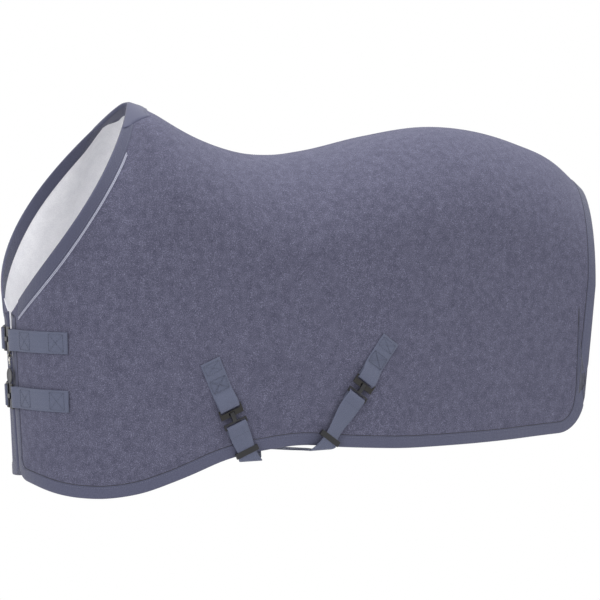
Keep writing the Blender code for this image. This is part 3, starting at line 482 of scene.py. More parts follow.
def tube(route, radius, sides=10):
    """Rings of a round bar along a route."""
    route = np.array(route, float)
    runs = np.gradient(route, axis=0)
    across = np.cross(runs[0], (0.0, 0.0, 1.0) if abs(unit(runs[0])[2]) < 0.9 else (0.0, 1.0, 0.0))
    rings = []
    for p, run in zip(route, runs):
        run = unit(run)
        across = unit(across - run * (across @ run))
        other = np.cross(run, across)
        turns = np.linspace(0.0, 2 * math.pi, sides, endpoint=False)
        rings.append([p + radius * (math.cos(a) * across + math.sin(a) * other) for a in turns])
    return rings


def evenly(points, step):
    """The same route with equal steps."""
    points = np.array(points, float)
    run = run_along(points[:, :3])
    count = max(int(round(run[-1] / step)), 2)
    at = np.linspace(0.0, run[-1], count + 1)
    return np.array([np.interp(at, run, column) for column in points.T]).T


STITCH_SHARE = 0.72  # how much of the pitch a stitch fills
BINDING_THREAD_R = 0.00042


def stitch_row(points, outs, pitch, radius):
    """Short round stitches, flattened onto the cloth, along a route: their points and faces."""
    both = evenly(np.hstack((points, outs)), pitch)
    profile = ((-0.5, 0.0), (-0.47, 0.55), (-0.36, 0.95), (0.0, 1.1), (0.36, 0.95), (0.47, 0.55), (0.5, 0.0))
    sides, length = 6, STITCH_SHARE * pitch
    spots, faces = [], []
    for here, there in zip(both, both[1:]):
        middle, out = (here[:3] + there[:3]) / 2, unit(here[3:])
        run = unit(there[:3] - here[:3])
        wide = np.cross(run, out)
        base = len(spots)
        for along, size in profile:
            for k in range(sides):
                a = 2 * math.pi * k / sides
                off = wide * math.cos(a) * radius * size + out * (math.sin(a) * size - 0.2) * radius
                spots.append(middle + run * along * length + off)
        faces += [tuple(base + k for k in face) for face in grid_faces(len(profile), sides, wrap=True)]
    return spots, faces


def stitches(name, rows, finish, slot, radius=BINDING_THREAD_R):
    """All the stitches along several rows, as one piece of thread; a row is its points and its outs."""
    pitch = bpy.context.scene.fly_sheet.stitch_pitch
    spots, faces = [], []
    for points, outs in rows:
        new, skin = stitch_row(points, outs, pitch, radius)
        faces += [tuple(k + len(spots) for k in face) for face in skin]
        spots += new
    return show(name, spots, faces, finish, [], slot)


# ---------------------------------------------------------------- shell, lining, bindings
def build_cloth():
    made = []
    for side in ("near", "far"):
        made.append(slab(f"{side}_lining", side, CLOTH_LOW, -LAYER_GAP, "lining", f"{side}_side_lining", 2))
        made.append(slab(f"{side}_shell", side, 0.0, SHELL_T, "shell", f"{side}_side_panel", 1))
    return made


def declare_sheets():
    """Works out the area of the near side's cloth; nothing is done with it."""
    area = cloth().area()


SIDE_MIDDLE = (0.5, 0.6)  # parameters that every edge's inward direction looks to


def edge_spots(route):
    """Point, outward and inward directions, and parameter steps per metre inwards, along an edge."""
    plain = np.array([surface(s, v) for s, v in route])
    runs = np.gradient(plain, axis=0)
    spots = []
    for (s, v), run, p in zip(route, runs, plain):
        out = normal(s, v)
        inward = unit(np.cross(out, run))
        if inward @ (surface(*SIDE_MIDDLE) - p) < 0:
            inward = -inward
        along, down = slopes(s, v)
        if v == 0.0:
            step = (0.0, np.linalg.norm(along) / np.linalg.norm(np.cross(along, down)))
        elif s == 1.0 and v < 0.9:
            step = (1.0 / (along @ inward), 0.0)
        else:
            far_s, far_v = step_on(s, v, inward * BINDING_W)
            step = ((far_s - s) / BINDING_W, (far_v - v) / BINDING_W)
        spots.append((s, v, inward, step))
    return spots


def on_cloth(spot, inwards, height):
    """A point at a distance inside an edge and at a height over the cloth, and its outward direction."""
    s, v, inward, step = spot
    reach = max(inwards, 0.0)
    point, out = cloth().at(s + step[0] * reach, v + step[1] * reach)
    return point + inward * min(inwards, 0.0) + out * height, out


def even_route(route, step):
    """A fine list of parameter pairs made into equal steps of length along the cloth."""
    points = np.array([surface(s, v) for s, v in route])
    run = run_along(points)
    at = np.linspace(0.0, run[-1], int(run[-1] / step) + 1)
    pairs = np.array(route)
    return list(zip(np.interp(at, run, pairs[:, 0]), np.interp(at, run, pairs[:, 1])))


TAPE_T = 0.0010
TAPE_STEP = 0.0045
PUCKER = 0.00022
TAPE_STITCH_IN = BINDING_W - 0.0042


def tape_section(width, i):
    """The rounded U of a tape folded over the edge, as distances inwards and heights."""
    pucker = PUCKER * (math.sin(2.1 * i) + 0.6 * math.sin(0.83 * i + 1.0))
    high, low = SHELL_T + 0.0003, CLOTH_LOW - 0.0003
    middle, half = (high + low) / 2, (high - low) / 2 + TAPE_T
    section = [(width, high), (width - 0.0003, high + TAPE_T), (width - 0.0022, high + TAPE_T * 0.55)]
    section += [(width * k, high + TAPE_T * 1.15 + pucker) for k in (0.75, 0.5, 0.28, 0.12)]
    for k in range(1, 8):
        a = math.pi / 2 - math.pi * k / 8
        section.append((0.0004 - (half + 0.0002) * math.cos(a), middle + (half + 0.0001) * math.sin(a)))
    section += [(width * k, low - TAPE_T * 1.1 - pucker) for k in (0.12, 0.28, 0.5, 0.75)]
    return section + [(width - 0.0022, low - TAPE_T * 0.6), (width - 0.0003, low - TAPE_T), (width, low)]


def tape(name, spots, side, nodes, width=BINDING_W):
    rings = []
    for i, spot in enumerate(spots):
        ring = [on_cloth(spot, w, h)[0] for w, h in tape_section(width, i)]
        for p in ring:
            p[1] = min(p[1], -SEAM_GAP)
        rings.append(ring if side == "near" else [mirrored(p) for p in ring])
    run, uvs = 0.0, []
    for i, ring in enumerate(rings):
        if i:
            run += float(np.linalg.norm(ring[7] - rings[i - 1][7]))
        across = run_along(ring)
        uvs += [(run, float(u)) for u in across]
    return lofted(name, rings, "binding", nodes, "binding", uvs=uvs)


def row_over(spots, inwards, height, side):
    """A row for stitching: points over the cloth and their outward directions."""
    both = [on_cloth(spot, inwards, height) for spot in spots]
    points, outs = np.array([b[0] for b in both]), np.array([b[1] for b in both])
    points[:, 1] = np.minimum(points[:, 1], -2 * SEAM_GAP)
    if side == "far":
        return mirrored(points), mirrored(outs)
    return points, outs


def build_bindings():
    down = [(FRONT_S, v) for v in np.linspace(0.0, 1.0, 160)]
    hem = [(s, 1.0) for s in FRONT_S + (1.0 - FRONT_S) * np.linspace(0.0, 1.0, 2400)[1:] ** 1.5]
    rear = [(1.0, v) for v in np.linspace(1.0, 0.0, 200)[1:]]
    edge = edge_spots(even_route(down + hem + rear, TAPE_STEP))
    neck_end = (PATCH_S + WITHERS_S) / 2
    neck = edge_spots(even_route([(s, 0.0) for s in np.linspace(0.030, neck_end, 300)], TAPE_STEP))
    bare_neck = [spot for spot in neck if spot[0] < PATCH_S - 0.004]
    made = []
    for side in ("near", "far"):
        made.append(tape(f"{side}_binding", edge, side, [f"{side}_edge_binding"]))
        made.append(tape(f"{side}_neck_band", neck, side, [f"{side}_neck_binding"]))
        cord = SHELL_T + 0.0009
        lines = []
        for apart in (0.0018, 0.0046):
            points, _ = row_over(bare_neck, BINDING_W + apart, cord, side)
            lines.append(tube(points, 0.0011, 8))
        first = lofted(f"{side}_piping_inner", lines[0], "piping", [f"{side}_neck_piping"], "binding")
        second = lofted(f"{side}_piping_outer", lines[1], "piping", [], "binding")
        # A near-black cord along the tape's inner edge: painted shadow where the tape's edge shades the
        # cloth.
        line, _ = row_over(edge[2:-2], BINDING_W + 0.0008, SHELL_T + 0.0001, side)
        seam = lofted(f"{side}_binding_seam_shadow", tube(line, 0.0007, 6), "seam", [], "binding")
        top = SHELL_T + 0.0003 + TAPE_T * 1.15
        rows = [row_over(edge, TAPE_STITCH_IN, top, side), row_over(neck, TAPE_STITCH_IN, top, side)]
        rows += [row_over(edge, TAPE_STITCH_IN, CLOTH_LOW - 0.0003 - TAPE_T, side)]
        made += [first, second, seam, stitches(f"{side}_stitching", rows, "thread", "binding")]
    declare_sheets()
    return made


# ---------------------------------------------------------------- withers patch and back seam
PATCH_LIFT = 0.0042
PATCH_EASE = {1: 0.75, 2: 0.35}  # how far the patch's last two rows sink to the cloth, of its lift
SEAM_TAPE_HALF_W = 0.009


def patch_ring(spots, inward):
    """The U of the patch over both faces of the neck edge: over the binding in front, on the cloth behind."""
    edge, out = spots[0]
    ring = []
    high, low = SHELL_T + PATCH_LIFT, CLOTH_LOW - PATCH_LIFT * 0.8
    for i in range(len(spots) - 1, 0, -1):
        ease = PATCH_LIFT * PATCH_EASE.get(len(spots) - i, 0.0)
        ring.append(spots[i][0] + spots[i][1] * (high - ease))
    ring += [edge - inward * 0.0010 + out * high, edge - inward * 0.0052 + out * (high + low) / 2]
    ring.append(edge - inward * 0.0010 + out * low)
    ring += [p + n * low for p, n in spots[1:]]
    return ring


def seam_tape():
    """The tape under the lining that covers the back seam from inside."""
    tries = np.linspace(WITHERS_S, 1.0, 400)
    low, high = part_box("back_seam_tape")
    ends = np.interp((low[0], high[0]), [surface(s, 0.0)[0] for s in tries], tries)
    top, bottom = CLOTH_LOW - TAPE_T, CLOTH_LOW - 2 * TAPE_T
    rings, uvs = [], []
    for s in np.linspace(ends[0], ends[1], 240):
        edge_v = CROWN_SHARE * math.asin(SEAM_TAPE_HALF_W / plan(s)[1]) / (math.pi / 2)
        middle, out = cloth().at(s, 0.0)
        out = unit(out * (1.0, 0.0, 1.0))
        edge = cloth().at(s, edge_v)[0]
        row = [edge, middle * (1.0, 0.0, 1.0), mirrored(edge)]
        rings.append([p + out * bottom for p in row] + [p + out * top for p in row[::-1]])
        uvs += [(float(middle[0]), SEAM_TAPE_HALF_W * k) for k in (-1, 0, 1, 1, 0, -1)]
    return lofted("seam_tape", rings, "binding", ["back_seam_tape"], "binding", uvs=uvs, sharp=40)


def build_withers():
    """The tape folded over both neck edges where they meet, and the back seam with its tape."""
    near = []
    route = even_route([(s, 0.0) for s in np.linspace(PATCH_S, WITHERS_S - 0.002, 60)], 0.012)
    for s, v, _, _ in edge_spots(route):
        edge, out = cloth().at(s, 0.0)
        end = max(edge[0] + PATCH_W, WITHERS_X + PATCH_W / 3)
        spots = [(edge, out)]
        for x in np.linspace(edge[0], end, 7)[1:]:
            spots.append(cloth().at(*over_plan(float(x), -edge[1])))
        inward = unit((spots[1][0] - edge) * (1.0, 0.3, 1.0))
        near.append(patch_ring(spots, inward))
    apex, _ = cloth().at(WITHERS_S, 0.0)
    back = unit(surface(WITHERS_S + 0.02, 0.0) - surface(WITHERS_S, 0.0))
    out = np.array((-back[2], 0.0, back[0]))
    middle = patch_ring([(apex + back * PATCH_W * k / 6, out) for k in range(7)], back)
    for p in middle:
        p[1] = 0.0
    for ring in near:
        for p in ring:
            p[1] = min(p[1], -0.0005)
    rings = near + [middle] + [[mirrored(p) for p in ring] for ring in near[::-1]]
    patch = lofted("withers_cap", rings, "binding", ["withers_patch"], "binding")
    softer = patch.modifiers.new("softer", "SUBSURF")
    softer.levels = softer.render_levels = 1
    behind = [np.array(ring[1]) + (0.0, 0.0, 0.0008) for ring in rings]
    rows = [(np.array(behind), np.tile((0.0, 0.0, 1.0), (len(behind), 1)))]
    first = WITHERS_S + 0.04
    for side in (-1.0, 1.0):
        seam, outs = [], []
        for s in np.linspace(first, 0.975, 160):
            point, out = cloth().at(s, 0.006)
            out = unit(out * (1.0, 0.0, 1.0))
            seam.append(point * (1.0, 0.0, 1.0) + (0.0, side * 0.0042, 0.0) + out * (SHELL_T + 0.0002))
            outs.append(out)
        rows.append((np.array(seam), np.array(outs)))
    return [patch, seam_tape(), stitches("back_stitching", rows, "thread", "binding")]


# ---------------------------------------------------------------- webbing
WEB_STEP = 0.004
WEB_THREAD_R = 0.0007
THREAD_LIFT = 0.0003  # a stitch row's middle over its webbing
BOX_W = WEBBING_W - 0.010
CHEST_BOX_HALF_W = 0.020


def rib_ends(route, width_way, skewed=()):
    """Both edges of flat webbing along a route; a place in skewed keeps that direction across it."""
    route = np.array(route, float)
    lefts, rights = [], []
    for i, p in enumerate(route):
        run = unit(route[min(i + 1, len(route) - 1)] - route[max(i - 1, 0)])
        if i in skewed:
            across = unit(skewed[i])
            across = across * WEBBING_W / 2 / np.linalg.norm(across - run * (across @ run))
        else:
            across = unit(width_way - run * (width_way @ run)) * WEBBING_W / 2
        lefts.append(p - across)
        rights.append(p + across)
    return np.array(lefts), np.array(rights)


def eased(lefts, rights):
    """Smooth curves through both edges, with short equal steps between the given places."""
    both = np.hstack((lefts, rights))
    middle = (lefts + rights) / 2
    at = run_along(middle)
    slope = np.gradient(both, at, axis=0)
    fine = []
    for i in range(len(both) - 1):
        h = at[i + 1] - at[i]
        for t in np.linspace(0.0, 1.0, max(int(h / WEB_STEP), 2), endpoint=False):
            ends = (2 * t**3 - 3 * t**2 + 1) * both[i] + (3 * t**2 - 2 * t**3) * both[i + 1]
            fine.append(ends + h * ((t**3 - 2 * t**2 + t) * slope[i] + (t**3 - t**2) * slope[i + 1]))
    fine.append(both[-1])
    fine = np.array(fine)
    return fine[:, :3], fine[:, 3:]


def webbing(name, lefts, rights, node, thickness=WEBBING_T, body=BODY):
    """Webbing between two edge curves, with rounded selvedges and its length laid out for the weave."""
    middle, rings, uvs = (lefts + rights) / 2, [], []
    runs = np.gradient(middle, axis=0)
    along = run_along(middle)
    half = thickness / 2
    section = [(-1.0, 0.0), (-0.985, 0.7), (-0.94, 1.0), (-0.5, 0.97), (0.0, 0.96), (0.5, 0.97), (0.94, 1.0),
               (0.985, 0.7), (1.0, 0.0), (0.985, -0.7), (0.94, -1.0), (0.0, -0.96), (-0.94, -1.0),
               (-0.985, -0.7)]
    for i, (left, right) in enumerate(zip(lefts, rights)):
        across = (right - left) / 2
        thick = unit(np.cross(unit(runs[i]), across))
        rings.append([middle[i] + across * a + thick * n * half for a, n in section])
        uvs += [(float(along[i]), a * WEBBING_W / 2) for a, _ in section]
    return lofted(name, rings, "webbing", [node], "webbing", body, uvs)


def web_stitches(name, rows):
    return stitches(f"{name}_stitching", rows, "web_thread", "webbing", WEB_THREAD_R)


def box_stitch(spot, along, across, out, length, width):
    """A sewn rectangle with a cross in it."""
    corners = [(-1, -1), (1, -1), (1, 1), (-1, 1), (-1, -1)]
    lines = [(corners[k], corners[k + 1]) for k in range(4)] + [((-1, -1), (1, 1)), ((-1, 1), (1, -1))]
    rows = []
    for line in lines:
        ends = [spot + along * a * length / 2 + across * b * width / 2 for a, b in line]
        rows.append((np.array(ends), np.array((out, out))))
    return rows


def hairpin(length, lift, back):
    """Webbing folded back round a clip's bar, as distances along it and heights."""
    bend = [(FOLD_R * math.cos(a), lift + FOLD_R * math.sin(a)) for a in FOLD_TURNS]
    return [(-length, lift + FOLD_R), *bend, (-back, lift - FOLD_R)]


def belly_tab(name, point):
    """The folded tab that carries a belly clip's loop, and its sewn box."""
    flat = SHELL_T + LAYER_GAP + WEBBING_T / 2
    below = flat + WEBBING_T + LAYER_GAP
    fold = hairpin(TAB_LENGTH, STRAP_LIFT, 0.030)
    places = [(-TAB_LENGTH, below), (-0.080, below), (-0.040, below), (-0.014, STRAP_LIFT + FOLD_R)]
    places += fold[1:-1]
    places += [(-0.012, STRAP_LIFT - FOLD_R), (-0.040, flat), (-0.080, flat), (-TAB_LENGTH + 0.006, flat)]
    along, across, out = ways(point)
    lefts, rights = eased(*rib_ends([point(d, 0.0, n) for d, n in places], across))
    tab = webbing(f"{name}_tab", lefts, rights, f"{name}_belly_tab")
    top = below + WEBBING_T / 2 + 0.0002
    rows = box_stitch(point(-0.058, 0.0, top), along, across, out, 0.030, BOX_W)
    rows += box_stitch(point(-TAB_LENGTH + 0.018, 0.0, top), along, across, out, 0.024, BOX_W)
    return [tab, web_stitches(f"{name}_tab", rows)]


def rearward(way):
    """A direction, turned round if it points to the head."""
    return way * math.copysign(1.0, way[0])


def belly_strap(name, point, course):
    """Webbing from the hook, past the near hem, under the belly and up the far side to its seam."""
    far_x, near_floor, far_floor, sag = course
    start, lift = CLIP_END, STRAP_LIFT
    bend = [(start - FOLD_R * math.cos(a), lift - FOLD_R * math.sin(a)) for a in FOLD_TURNS]
    turned = [(start + 0.024, lift - FOLD_R), *bend, (start + 0.014, lift + 0.0022), (start + 0.030, lift)]
    down, across, out = ways(point)
    reach = (point(0, 0, lift)[2] - near_floor) / -down[2] - HEM_TURN_R
    turned.append((reach, lift))
    route = [point(d, 0.0, n) for d, n in turned]
    far_s, far_v = place(far_x, far_floor + 0.045)
    far_out = mirrored(normal(far_s, far_v))
    leave = mirrored(surface(far_s, far_v)) + far_out * lift
    entry = route[-1]
    heading = unit((leave - entry) * (1.0, 1.0, 0.0))
    for k in range(1, 6):
        a = math.pi / 2 * k / 6
        route.append(entry + HEM_TURN_R * ((1 - math.cos(a)) * heading + math.sin(a) * down))
    span_start = entry + HEM_TURN_R * (heading + down)
    span_end = np.array((leave[0], leave[1], far_floor)) - FAR_TURN_R * heading
    for k in range(9):
        u = k / 8
        route.append(span_start + (span_end - span_start) * u - np.array((0.0, 0.0, 4 * sag * u * (1 - u))))
    for k in range(1, 7):
        a = math.pi / 2 * k / 6
        ahead = span_end + FAR_TURN_R * heading * math.sin(a)
        route.append(ahead + np.array((0.0, 0.0, FAR_TURN_R * (1 - math.cos(a)))))
    sewn = SHELL_T + 3 * LAYER_GAP + TAPE_T + WEBBING_T / 2
    for rise, height in ((0.030, lift), (0.060, lift * 0.7), (0.090, sewn), (0.180, sewn)):
        route.append(mirrored(surface(*place(far_x, far_floor + rise))) + far_out * height)
    hem_way = rearward(np.cross((0.0, 0.0, 1.0), out))
    far_way = rearward(np.cross((0.0, 0.0, 1.0), far_out))
    fold, level_end = len(turned) - 1, len(turned) + 14
    skewed = {}
    for i in range(fold, len(route)):
        t = min(max((i - fold - 6) / (level_end - fold - 6), 0.0), 1.0)
        skewed[i] = hem_way * (1 - t) + far_way * t
    lefts, rights = eased(*rib_ends(route, rearward(across), skewed))
    strap = webbing(f"{name}_strap", lefts, rights, f"{name}_belly_strap")
    rings = []
    for rise in (0.086, 0.137, 0.188):
        p = mirrored(surface(*place(far_x, far_floor + rise))) + far_out * (SHELL_T + LAYER_GAP + TAPE_T / 2)
        rings.append((p - FAR_PATCH_HALF_W * far_way, p + FAR_PATCH_HALF_W * far_way))
    lefts, rights = np.array([r[0] for r in rings]), np.array([r[1] for r in rings])
    patch = webbing(f"{name}_strap_patch", lefts, rights, f"{name}_far_patch", TAPE_T)
    sewn_at = mirrored(surface(*place(far_x, far_floor + 0.135)))
    sewn_at = sewn_at + far_out * (sewn + WEBBING_T / 2 + THREAD_LIFT)
    rise_way = unit(route[-1] - route[-2])
    rows = box_stitch(sewn_at, rise_way, far_way, far_out, 0.060, BOX_W)
    top = point(start + 0.024, 0.0, lift + WEBBING_T / 2 + 0.0006)
    rows += [(np.array((top - across * 0.021, top + across * 0.021)), np.array((out, out)))]
    return [strap, patch, web_stitches(f"{name}_strap", rows)]


def chest_frame(z):
    """The frame of a chest clip: d runs from the near side to the far side across the front."""
    v = at_height(FRONT_S, z)
    front = surface(FRONT_S, v) * (1.0, 0.0, 1.0)
    lean = surface(FRONT_S, v + 0.01) - surface(FRONT_S, v - 0.01)
    out = np.cross((0.0, 1.0, 0.0), lean)
    out = out * (-1.0 if out[0] > 0 else 1.0)
    return clip_frame(front - np.array((0.0, CHEST_CLIP_START, 0.0)), np.array((0.0, 1.0, 0.0)), out)


def along_chest(z, start, end, height, count):
    """Points over the near side's cloth at one height, between two distances from the centre line."""
    route = []
    for y in np.linspace(start, end, count):
        s = FRONT_SHARE * math.asin(y / FLANK_HALF_WIDTH) / (math.pi / 2)
        v = at_height(s, z)
        out = unit(normal(s, v) * (1.0, 1.0, 0.0))
        off = height - CHEST_TAB_SETTLE * min(max((y - CHEST_TAB_LEVEL) / BINDING_W, 0.0), 1.0)
        route.append(surface(s, v) + out * off)
    return route


def chest_webbing(name, z):
    point = chest_frame(z)
    _, up, out = ways(point)
    inner = SHELL_T + TAPE_T + 0.0009 + 4 * LAYER_GAP + WEBBING_T / 2
    outer = inner + WEBBING_T + LAYER_GAP
    bend = [point(d, 0.0, n) for d, n in hairpin(0.0, STRAP_LIFT, 0.0)[1:-1]]
    over = along_chest(z, CHEST_TAB_REACH, CHEST_TAB_LEVEL, outer, 9)
    under = along_chest(z, CHEST_TAB_LEVEL, CHEST_TAB_REACH - 0.012, inner, 9)
    lefts, rights = eased(*rib_ends(over + bend + under, up))
    tab = webbing(f"{name}_front_tab", lefts, rights, f"{name}_chest_tab")
    bend = [point(CLIP_END - FOLD_R * math.cos(a), 0.0, STRAP_LIFT + FOLD_R * math.sin(a))
            for a in FOLD_TURNS]
    start = bend[0][1] + 0.022
    far_over = [mirrored(p) for p in along_chest(z, CHEST_TAB_REACH, start, outer, 8)]
    far_under = [mirrored(p) for p in along_chest(z, start, CHEST_TAB_REACH - 0.012, inner, 8)]
    lefts, rights = eased(*rib_ends(far_over + bend + far_under, up))
    strap = webbing(f"{name}_front_strap", lefts, rights, f"{name}_chest_far_strap")
    top = outer + WEBBING_T / 2 + THREAD_LIFT
    rows = []
    sewn_end = (CHEST_TAB_REACH - 0.036, CHEST_TAB_REACH - 0.008)
    boxes = ((0.052, 0.084, "near"), (*sewn_end, "near"), (0.060, 0.092, "far"), (*sewn_end, "far"))
    for here, there, side in boxes:
        for level in (CHEST_BOX_HALF_W, -CHEST_BOX_HALF_W):
            line = along_chest(z, here, there, top, 8)
            rows.append([p + up * level for p in line])
        for y in (here, there):
            p = along_chest(z, y, y + 0.001, top, 2)[0]
            rows.append([p - up * CHEST_BOX_HALF_W, p + up * CHEST_BOX_HALF_W])
        line = along_chest(z, here, there, top, 8)
        for rise in (CHEST_BOX_HALF_W, -CHEST_BOX_HALF_W):
            rows.append([p + up * rise * (2 * k / 7 - 1) for k, p in enumerate(line)])
        if side == "far":
            rows[-6:] = [[mirrored(p) for p in row] for row in rows[-6:]]
    rows = [(np.array(row), np.tile(out, (len(row), 1))) for row in rows]
    return [tab, strap, web_stitches(f"{name}_front", rows)]


def build_webbing():
    made = []
    for name, x, z, lean, course in BELLY_CLOSURES:
        point = belly_frame(x, z, lean)
        made += belly_tab(name, point) + belly_strap(name, point, course)
    for name, z in CHEST_CLOSURES:
        made += chest_webbing(name, z)
    return made


# ---------------------------------------------------------------- clips
def hard_piece(name, node, finish, body, edge):
    """A CAD solid's own shape with its flat faces joined, its edges rounded and a finish lighter on its
    edges, as wear and as painted highlight.
    """
    source = frame["nodes"][node]
    shape = bmesh.new()
    shape.from_mesh(source.data)
    bmesh.ops.remove_doubles(shape, verts=shape.verts, dist=0.00001)
    bmesh.ops.dissolve_limit(shape, angle_limit=math.radians(2), verts=shape.verts, edges=shape.edges)
    mesh = bpy.data.meshes.new(name)
    shape.to_mesh(mesh)
    shape.free()
    mesh.materials.clear()
    mesh.materials.append(material(finish))
    mesh.shade_smooth()
    piece = bpy.data.objects.new(name, mesh)
    bpy.context.scene.collection.objects.link(piece)
    rounding = piece.modifiers.new("rounded edges", "BEVEL")
    rounding.width = edge
    rounding.segments = 3
    rounding.limit_method = "ANGLE"
    rounding.angle_limit = math.radians(40)
    rounding.harden_normals = True
    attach(piece, body)
    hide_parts(node)
    return piece


PLATE_EDGE = 0.0007
LEAF_EDGE = 0.0003


def build_clips():
    made = []
    for end, clip in (("front", "belly"), ("rear", "belly"), ("upper", "chest"), ("lower", "chest")):
        made.append(hard_piece(f"{end}_loop", f"{end}_{clip}_loop", "gunmetal", BODY, PLATE_EDGE))
        made.append(hard_piece(f"{end}_hook", f"{end}_{clip}_hook", "black_metal", BODY, PLATE_EDGE))
        made.append(hard_piece(f"{end}_leaf", f"{end}_{clip}_gate", "bright_metal", f"{end}_gate", LEAF_EDGE))
        if clip == "belly":
            made.append(hard_piece(f"{end}_keeper", f"{end}_strap_slider", "black_metal",
                                   f"{end}_slider", PLATE_EDGE))
    return made


# ---------------------------------------------------------------- charm
CHARM_WIRE_R = 0.0015
CHARM_HOOK_R = 0.0039
CHARM_DISC_R = 0.0180
CHARM_DISC_T = 0.0036
EYE_R = 0.0042
EYE_WIRE = 0.0011
BORE_R = 0.00175


def turned_rings(profile, axis, sides=32):
    """Rings of a turned piece about the vertical through axis, from (radius, height) pairs."""
    turns = np.linspace(0.0, 2 * math.pi, sides, endpoint=False)
    return [[(axis[0] + r * math.cos(a), axis[1] + r * math.sin(a), z) for a in turns] for r, z in profile]


def joined(pieces):
    """The first piece with the meshes of the others added to it."""
    whole = bmesh.new()
    for piece in pieces:
        whole.from_mesh(piece.data)
    whole.to_mesh(pieces[0].data)
    whole.free()
    for extra in pieces[1:]:
        bpy.data.objects.remove(extra, do_unlink=True)
    pieces[0].data.shade_smooth()
    pieces[0].data.set_sharp_from_angle(angle=math.radians(45))
    return pieces[0]


def joint_place(name):
    for joint in frame["joints"]:
        if joint["name"] == name:
            return np.array(joint["pos_m"])
    raise RuntimeError(f"the frame has no joint {name}")


def nickel(name, rings, nodes, body, **skin):
    return lofted(name, rings, "bright_metal", nodes, "bright_metal", body, **skin)


def build_charm():
    bar, low_bar = joint_place("charm_swing"), joint_place("tag_swing")
    foot = bar - np.array((0.0, 0.0, CHARM_HOOK_R + 0.004))
    top, low = foot[2] + 0.0015, foot[2] - 0.0048
    arc = [bar + CHARM_HOOK_R * np.array((math.cos(a), 0.0, math.sin(a)))
           for a in np.radians(np.linspace(215.0, -90.0, 40))]
    wire = tube(arc + [foot + (0.0, 0.0, 0.001)], CHARM_WIRE_R, 16)
    hook = nickel("snap_hook", wire, ["charm_snap"], "snap", sharp=50)
    sleeve = [(0.0001, top), (0.0028, top), (0.0033, top - 0.0005), (0.0033, top - 0.0016),
              (0.0029, top - 0.0020), (0.0033, top - 0.0024), (0.0033, low + 0.0005), (0.0028, low),
              (BORE_R, low),
              (BORE_R, top - 0.0022), (0.0001, top - 0.0022)]
    barrel = nickel("snap_barrel", turned_rings(sleeve, foot), [], "snap", sharp=50)
    made = [joined([hook, barrel])]
    made.append(hard_piece("snap_leaf", "charm_gate", "bright_metal", "snap_gate", LEAF_EDGE))
    eye = low_bar + np.array((0.0, 0.0, EYE_R))
    turns = np.linspace(0.0, 2 * math.pi, 40, endpoint=False)
    ring = [eye + EYE_R * np.array((0.0, math.cos(a), math.sin(a))) for a in turns]
    rings = []
    for a, p in zip(turns, ring):
        radial = unit(p - eye)
        rings.append([p + EYE_WIRE * (math.cos(b) * radial + math.sin(b) * np.array((1.0, 0.0, 0.0)))
                      for b in np.linspace(0.0, 2 * math.pi, 14, endpoint=False)])
    loop = nickel("swivel_eye", rings, ["charm_swivel"], "swivel", closed=True)
    stem_r = BORE_R - CLIP_GAP
    stem_top, stem_foot = top - 0.0028, eye[2] + EYE_R
    stem = [(0.0001, stem_top), (stem_r, stem_top), (stem_r, stem_foot), (0.0001, stem_foot)]
    pin = nickel("swivel_pin", turned_rings(stem, foot), [], "swivel", sharp=50)
    made.append(joined([loop, pin]))
    made += build_tag(low_bar)
    return made


def build_tag(low_bar):
    """The short loop and the round moulded tag with a raised rim and no lettering."""
    half_t = 0.0006
    fold = (EYE_WIRE + half_t) / math.cos(math.pi / 12) + 2.5 * CLIP_GAP
    end = low_bar[2] - 0.0050
    bend = [low_bar + fold * np.array((math.cos(a), 0.0, math.sin(a))) for a in np.linspace(0.0, math.pi, 14)]
    route = [(low_bar[0] + fold, low_bar[1], end), *bend, (low_bar[0] - fold, low_bar[1], end)]
    wide = np.array((0.0, 0.4 * EYE_R, 0.0))
    lefts, rights = eased(np.array(route) - wide, np.array(route) + wide)
    loop = webbing("tag_loop", lefts, rights, "charm_strap", 2 * half_t, "tag")
    centre = np.array((low_bar[0], low_bar[1], end - CHARM_DISC_R - CLIP_GAP))
    half = CHARM_DISC_T / 2
    profile = [(0.001, -half + 0.0009), (0.76, -half + 0.0009), (0.80, -half + 0.0007),
               (0.84, -half + 0.0001), (0.88, -half), (0.94, -half), (0.985, -half + 0.0004),
               (1.0, -half + 0.0010), (1.0, half - 0.0010), (0.985, half - 0.0004), (0.94, half),
               (0.001, half)]
    turns = np.linspace(0.0, 2 * math.pi, 96, endpoint=False)
    rings = [[centre + np.array((x, r * CHARM_DISC_R * math.cos(a), r * CHARM_DISC_R * math.sin(a)))
              for a in turns] for r, x in profile]
    disc = lofted("tag_disc", rings, "disc", ["charm_disc"], "disc", "tag", sharp=40)
    return [loop, disc]


# ---------------------------------------------------------------- materials
FLEECE_DARK, FLEECE_MID, FLEECE_LIGHT, FLECK = "#454656", "#515163", "#6a6a7f", "#8a8a9e"
LINING_LIGHT, LINING_DARK = "#eeeef1", "#e2e2e6"
TAPE_LIGHT, TAPE_DARK = "#4e5066", "#434559"
WEB_LIGHT, WEB_DARK = "#5c6178", "#454a5d"
PIPING_LIGHT, PIPING_DARK = "#a9abbd", "#85879b"
THREAD_COLOUR, WEB_THREAD_COLOUR, SEAM_SHADOW_COLOUR = "#63657c", "#454a5e", "#1f202b"
GUNMETAL_COLOUR, BLACK_COLOUR, NICKEL_COLOUR = "#3b3a39", "#0d0d11", "#b4b2ac"
MULTIPLIED = {"data_type": "RGBA", "blend_type": "MULTIPLY"}
HERRINGBONE_ROW = 0.00625  # width of one slanted row of the weave


def linear(colour):
    """The linear RGBA of an sRGB hex colour."""
    parts = [int(colour[k:k + 2], 16) / 255 for k in (1, 3, 5)]
    return tuple(c / 12.92 if c <= 0.04045 else ((c + 0.055) / 1.055) ** 2.4 for c in parts) + (1.0,)


def per(millimetres):
    """A pattern's scale, in repeats per metre, from the size of one repeat."""
    return 1000.0 / millimetres


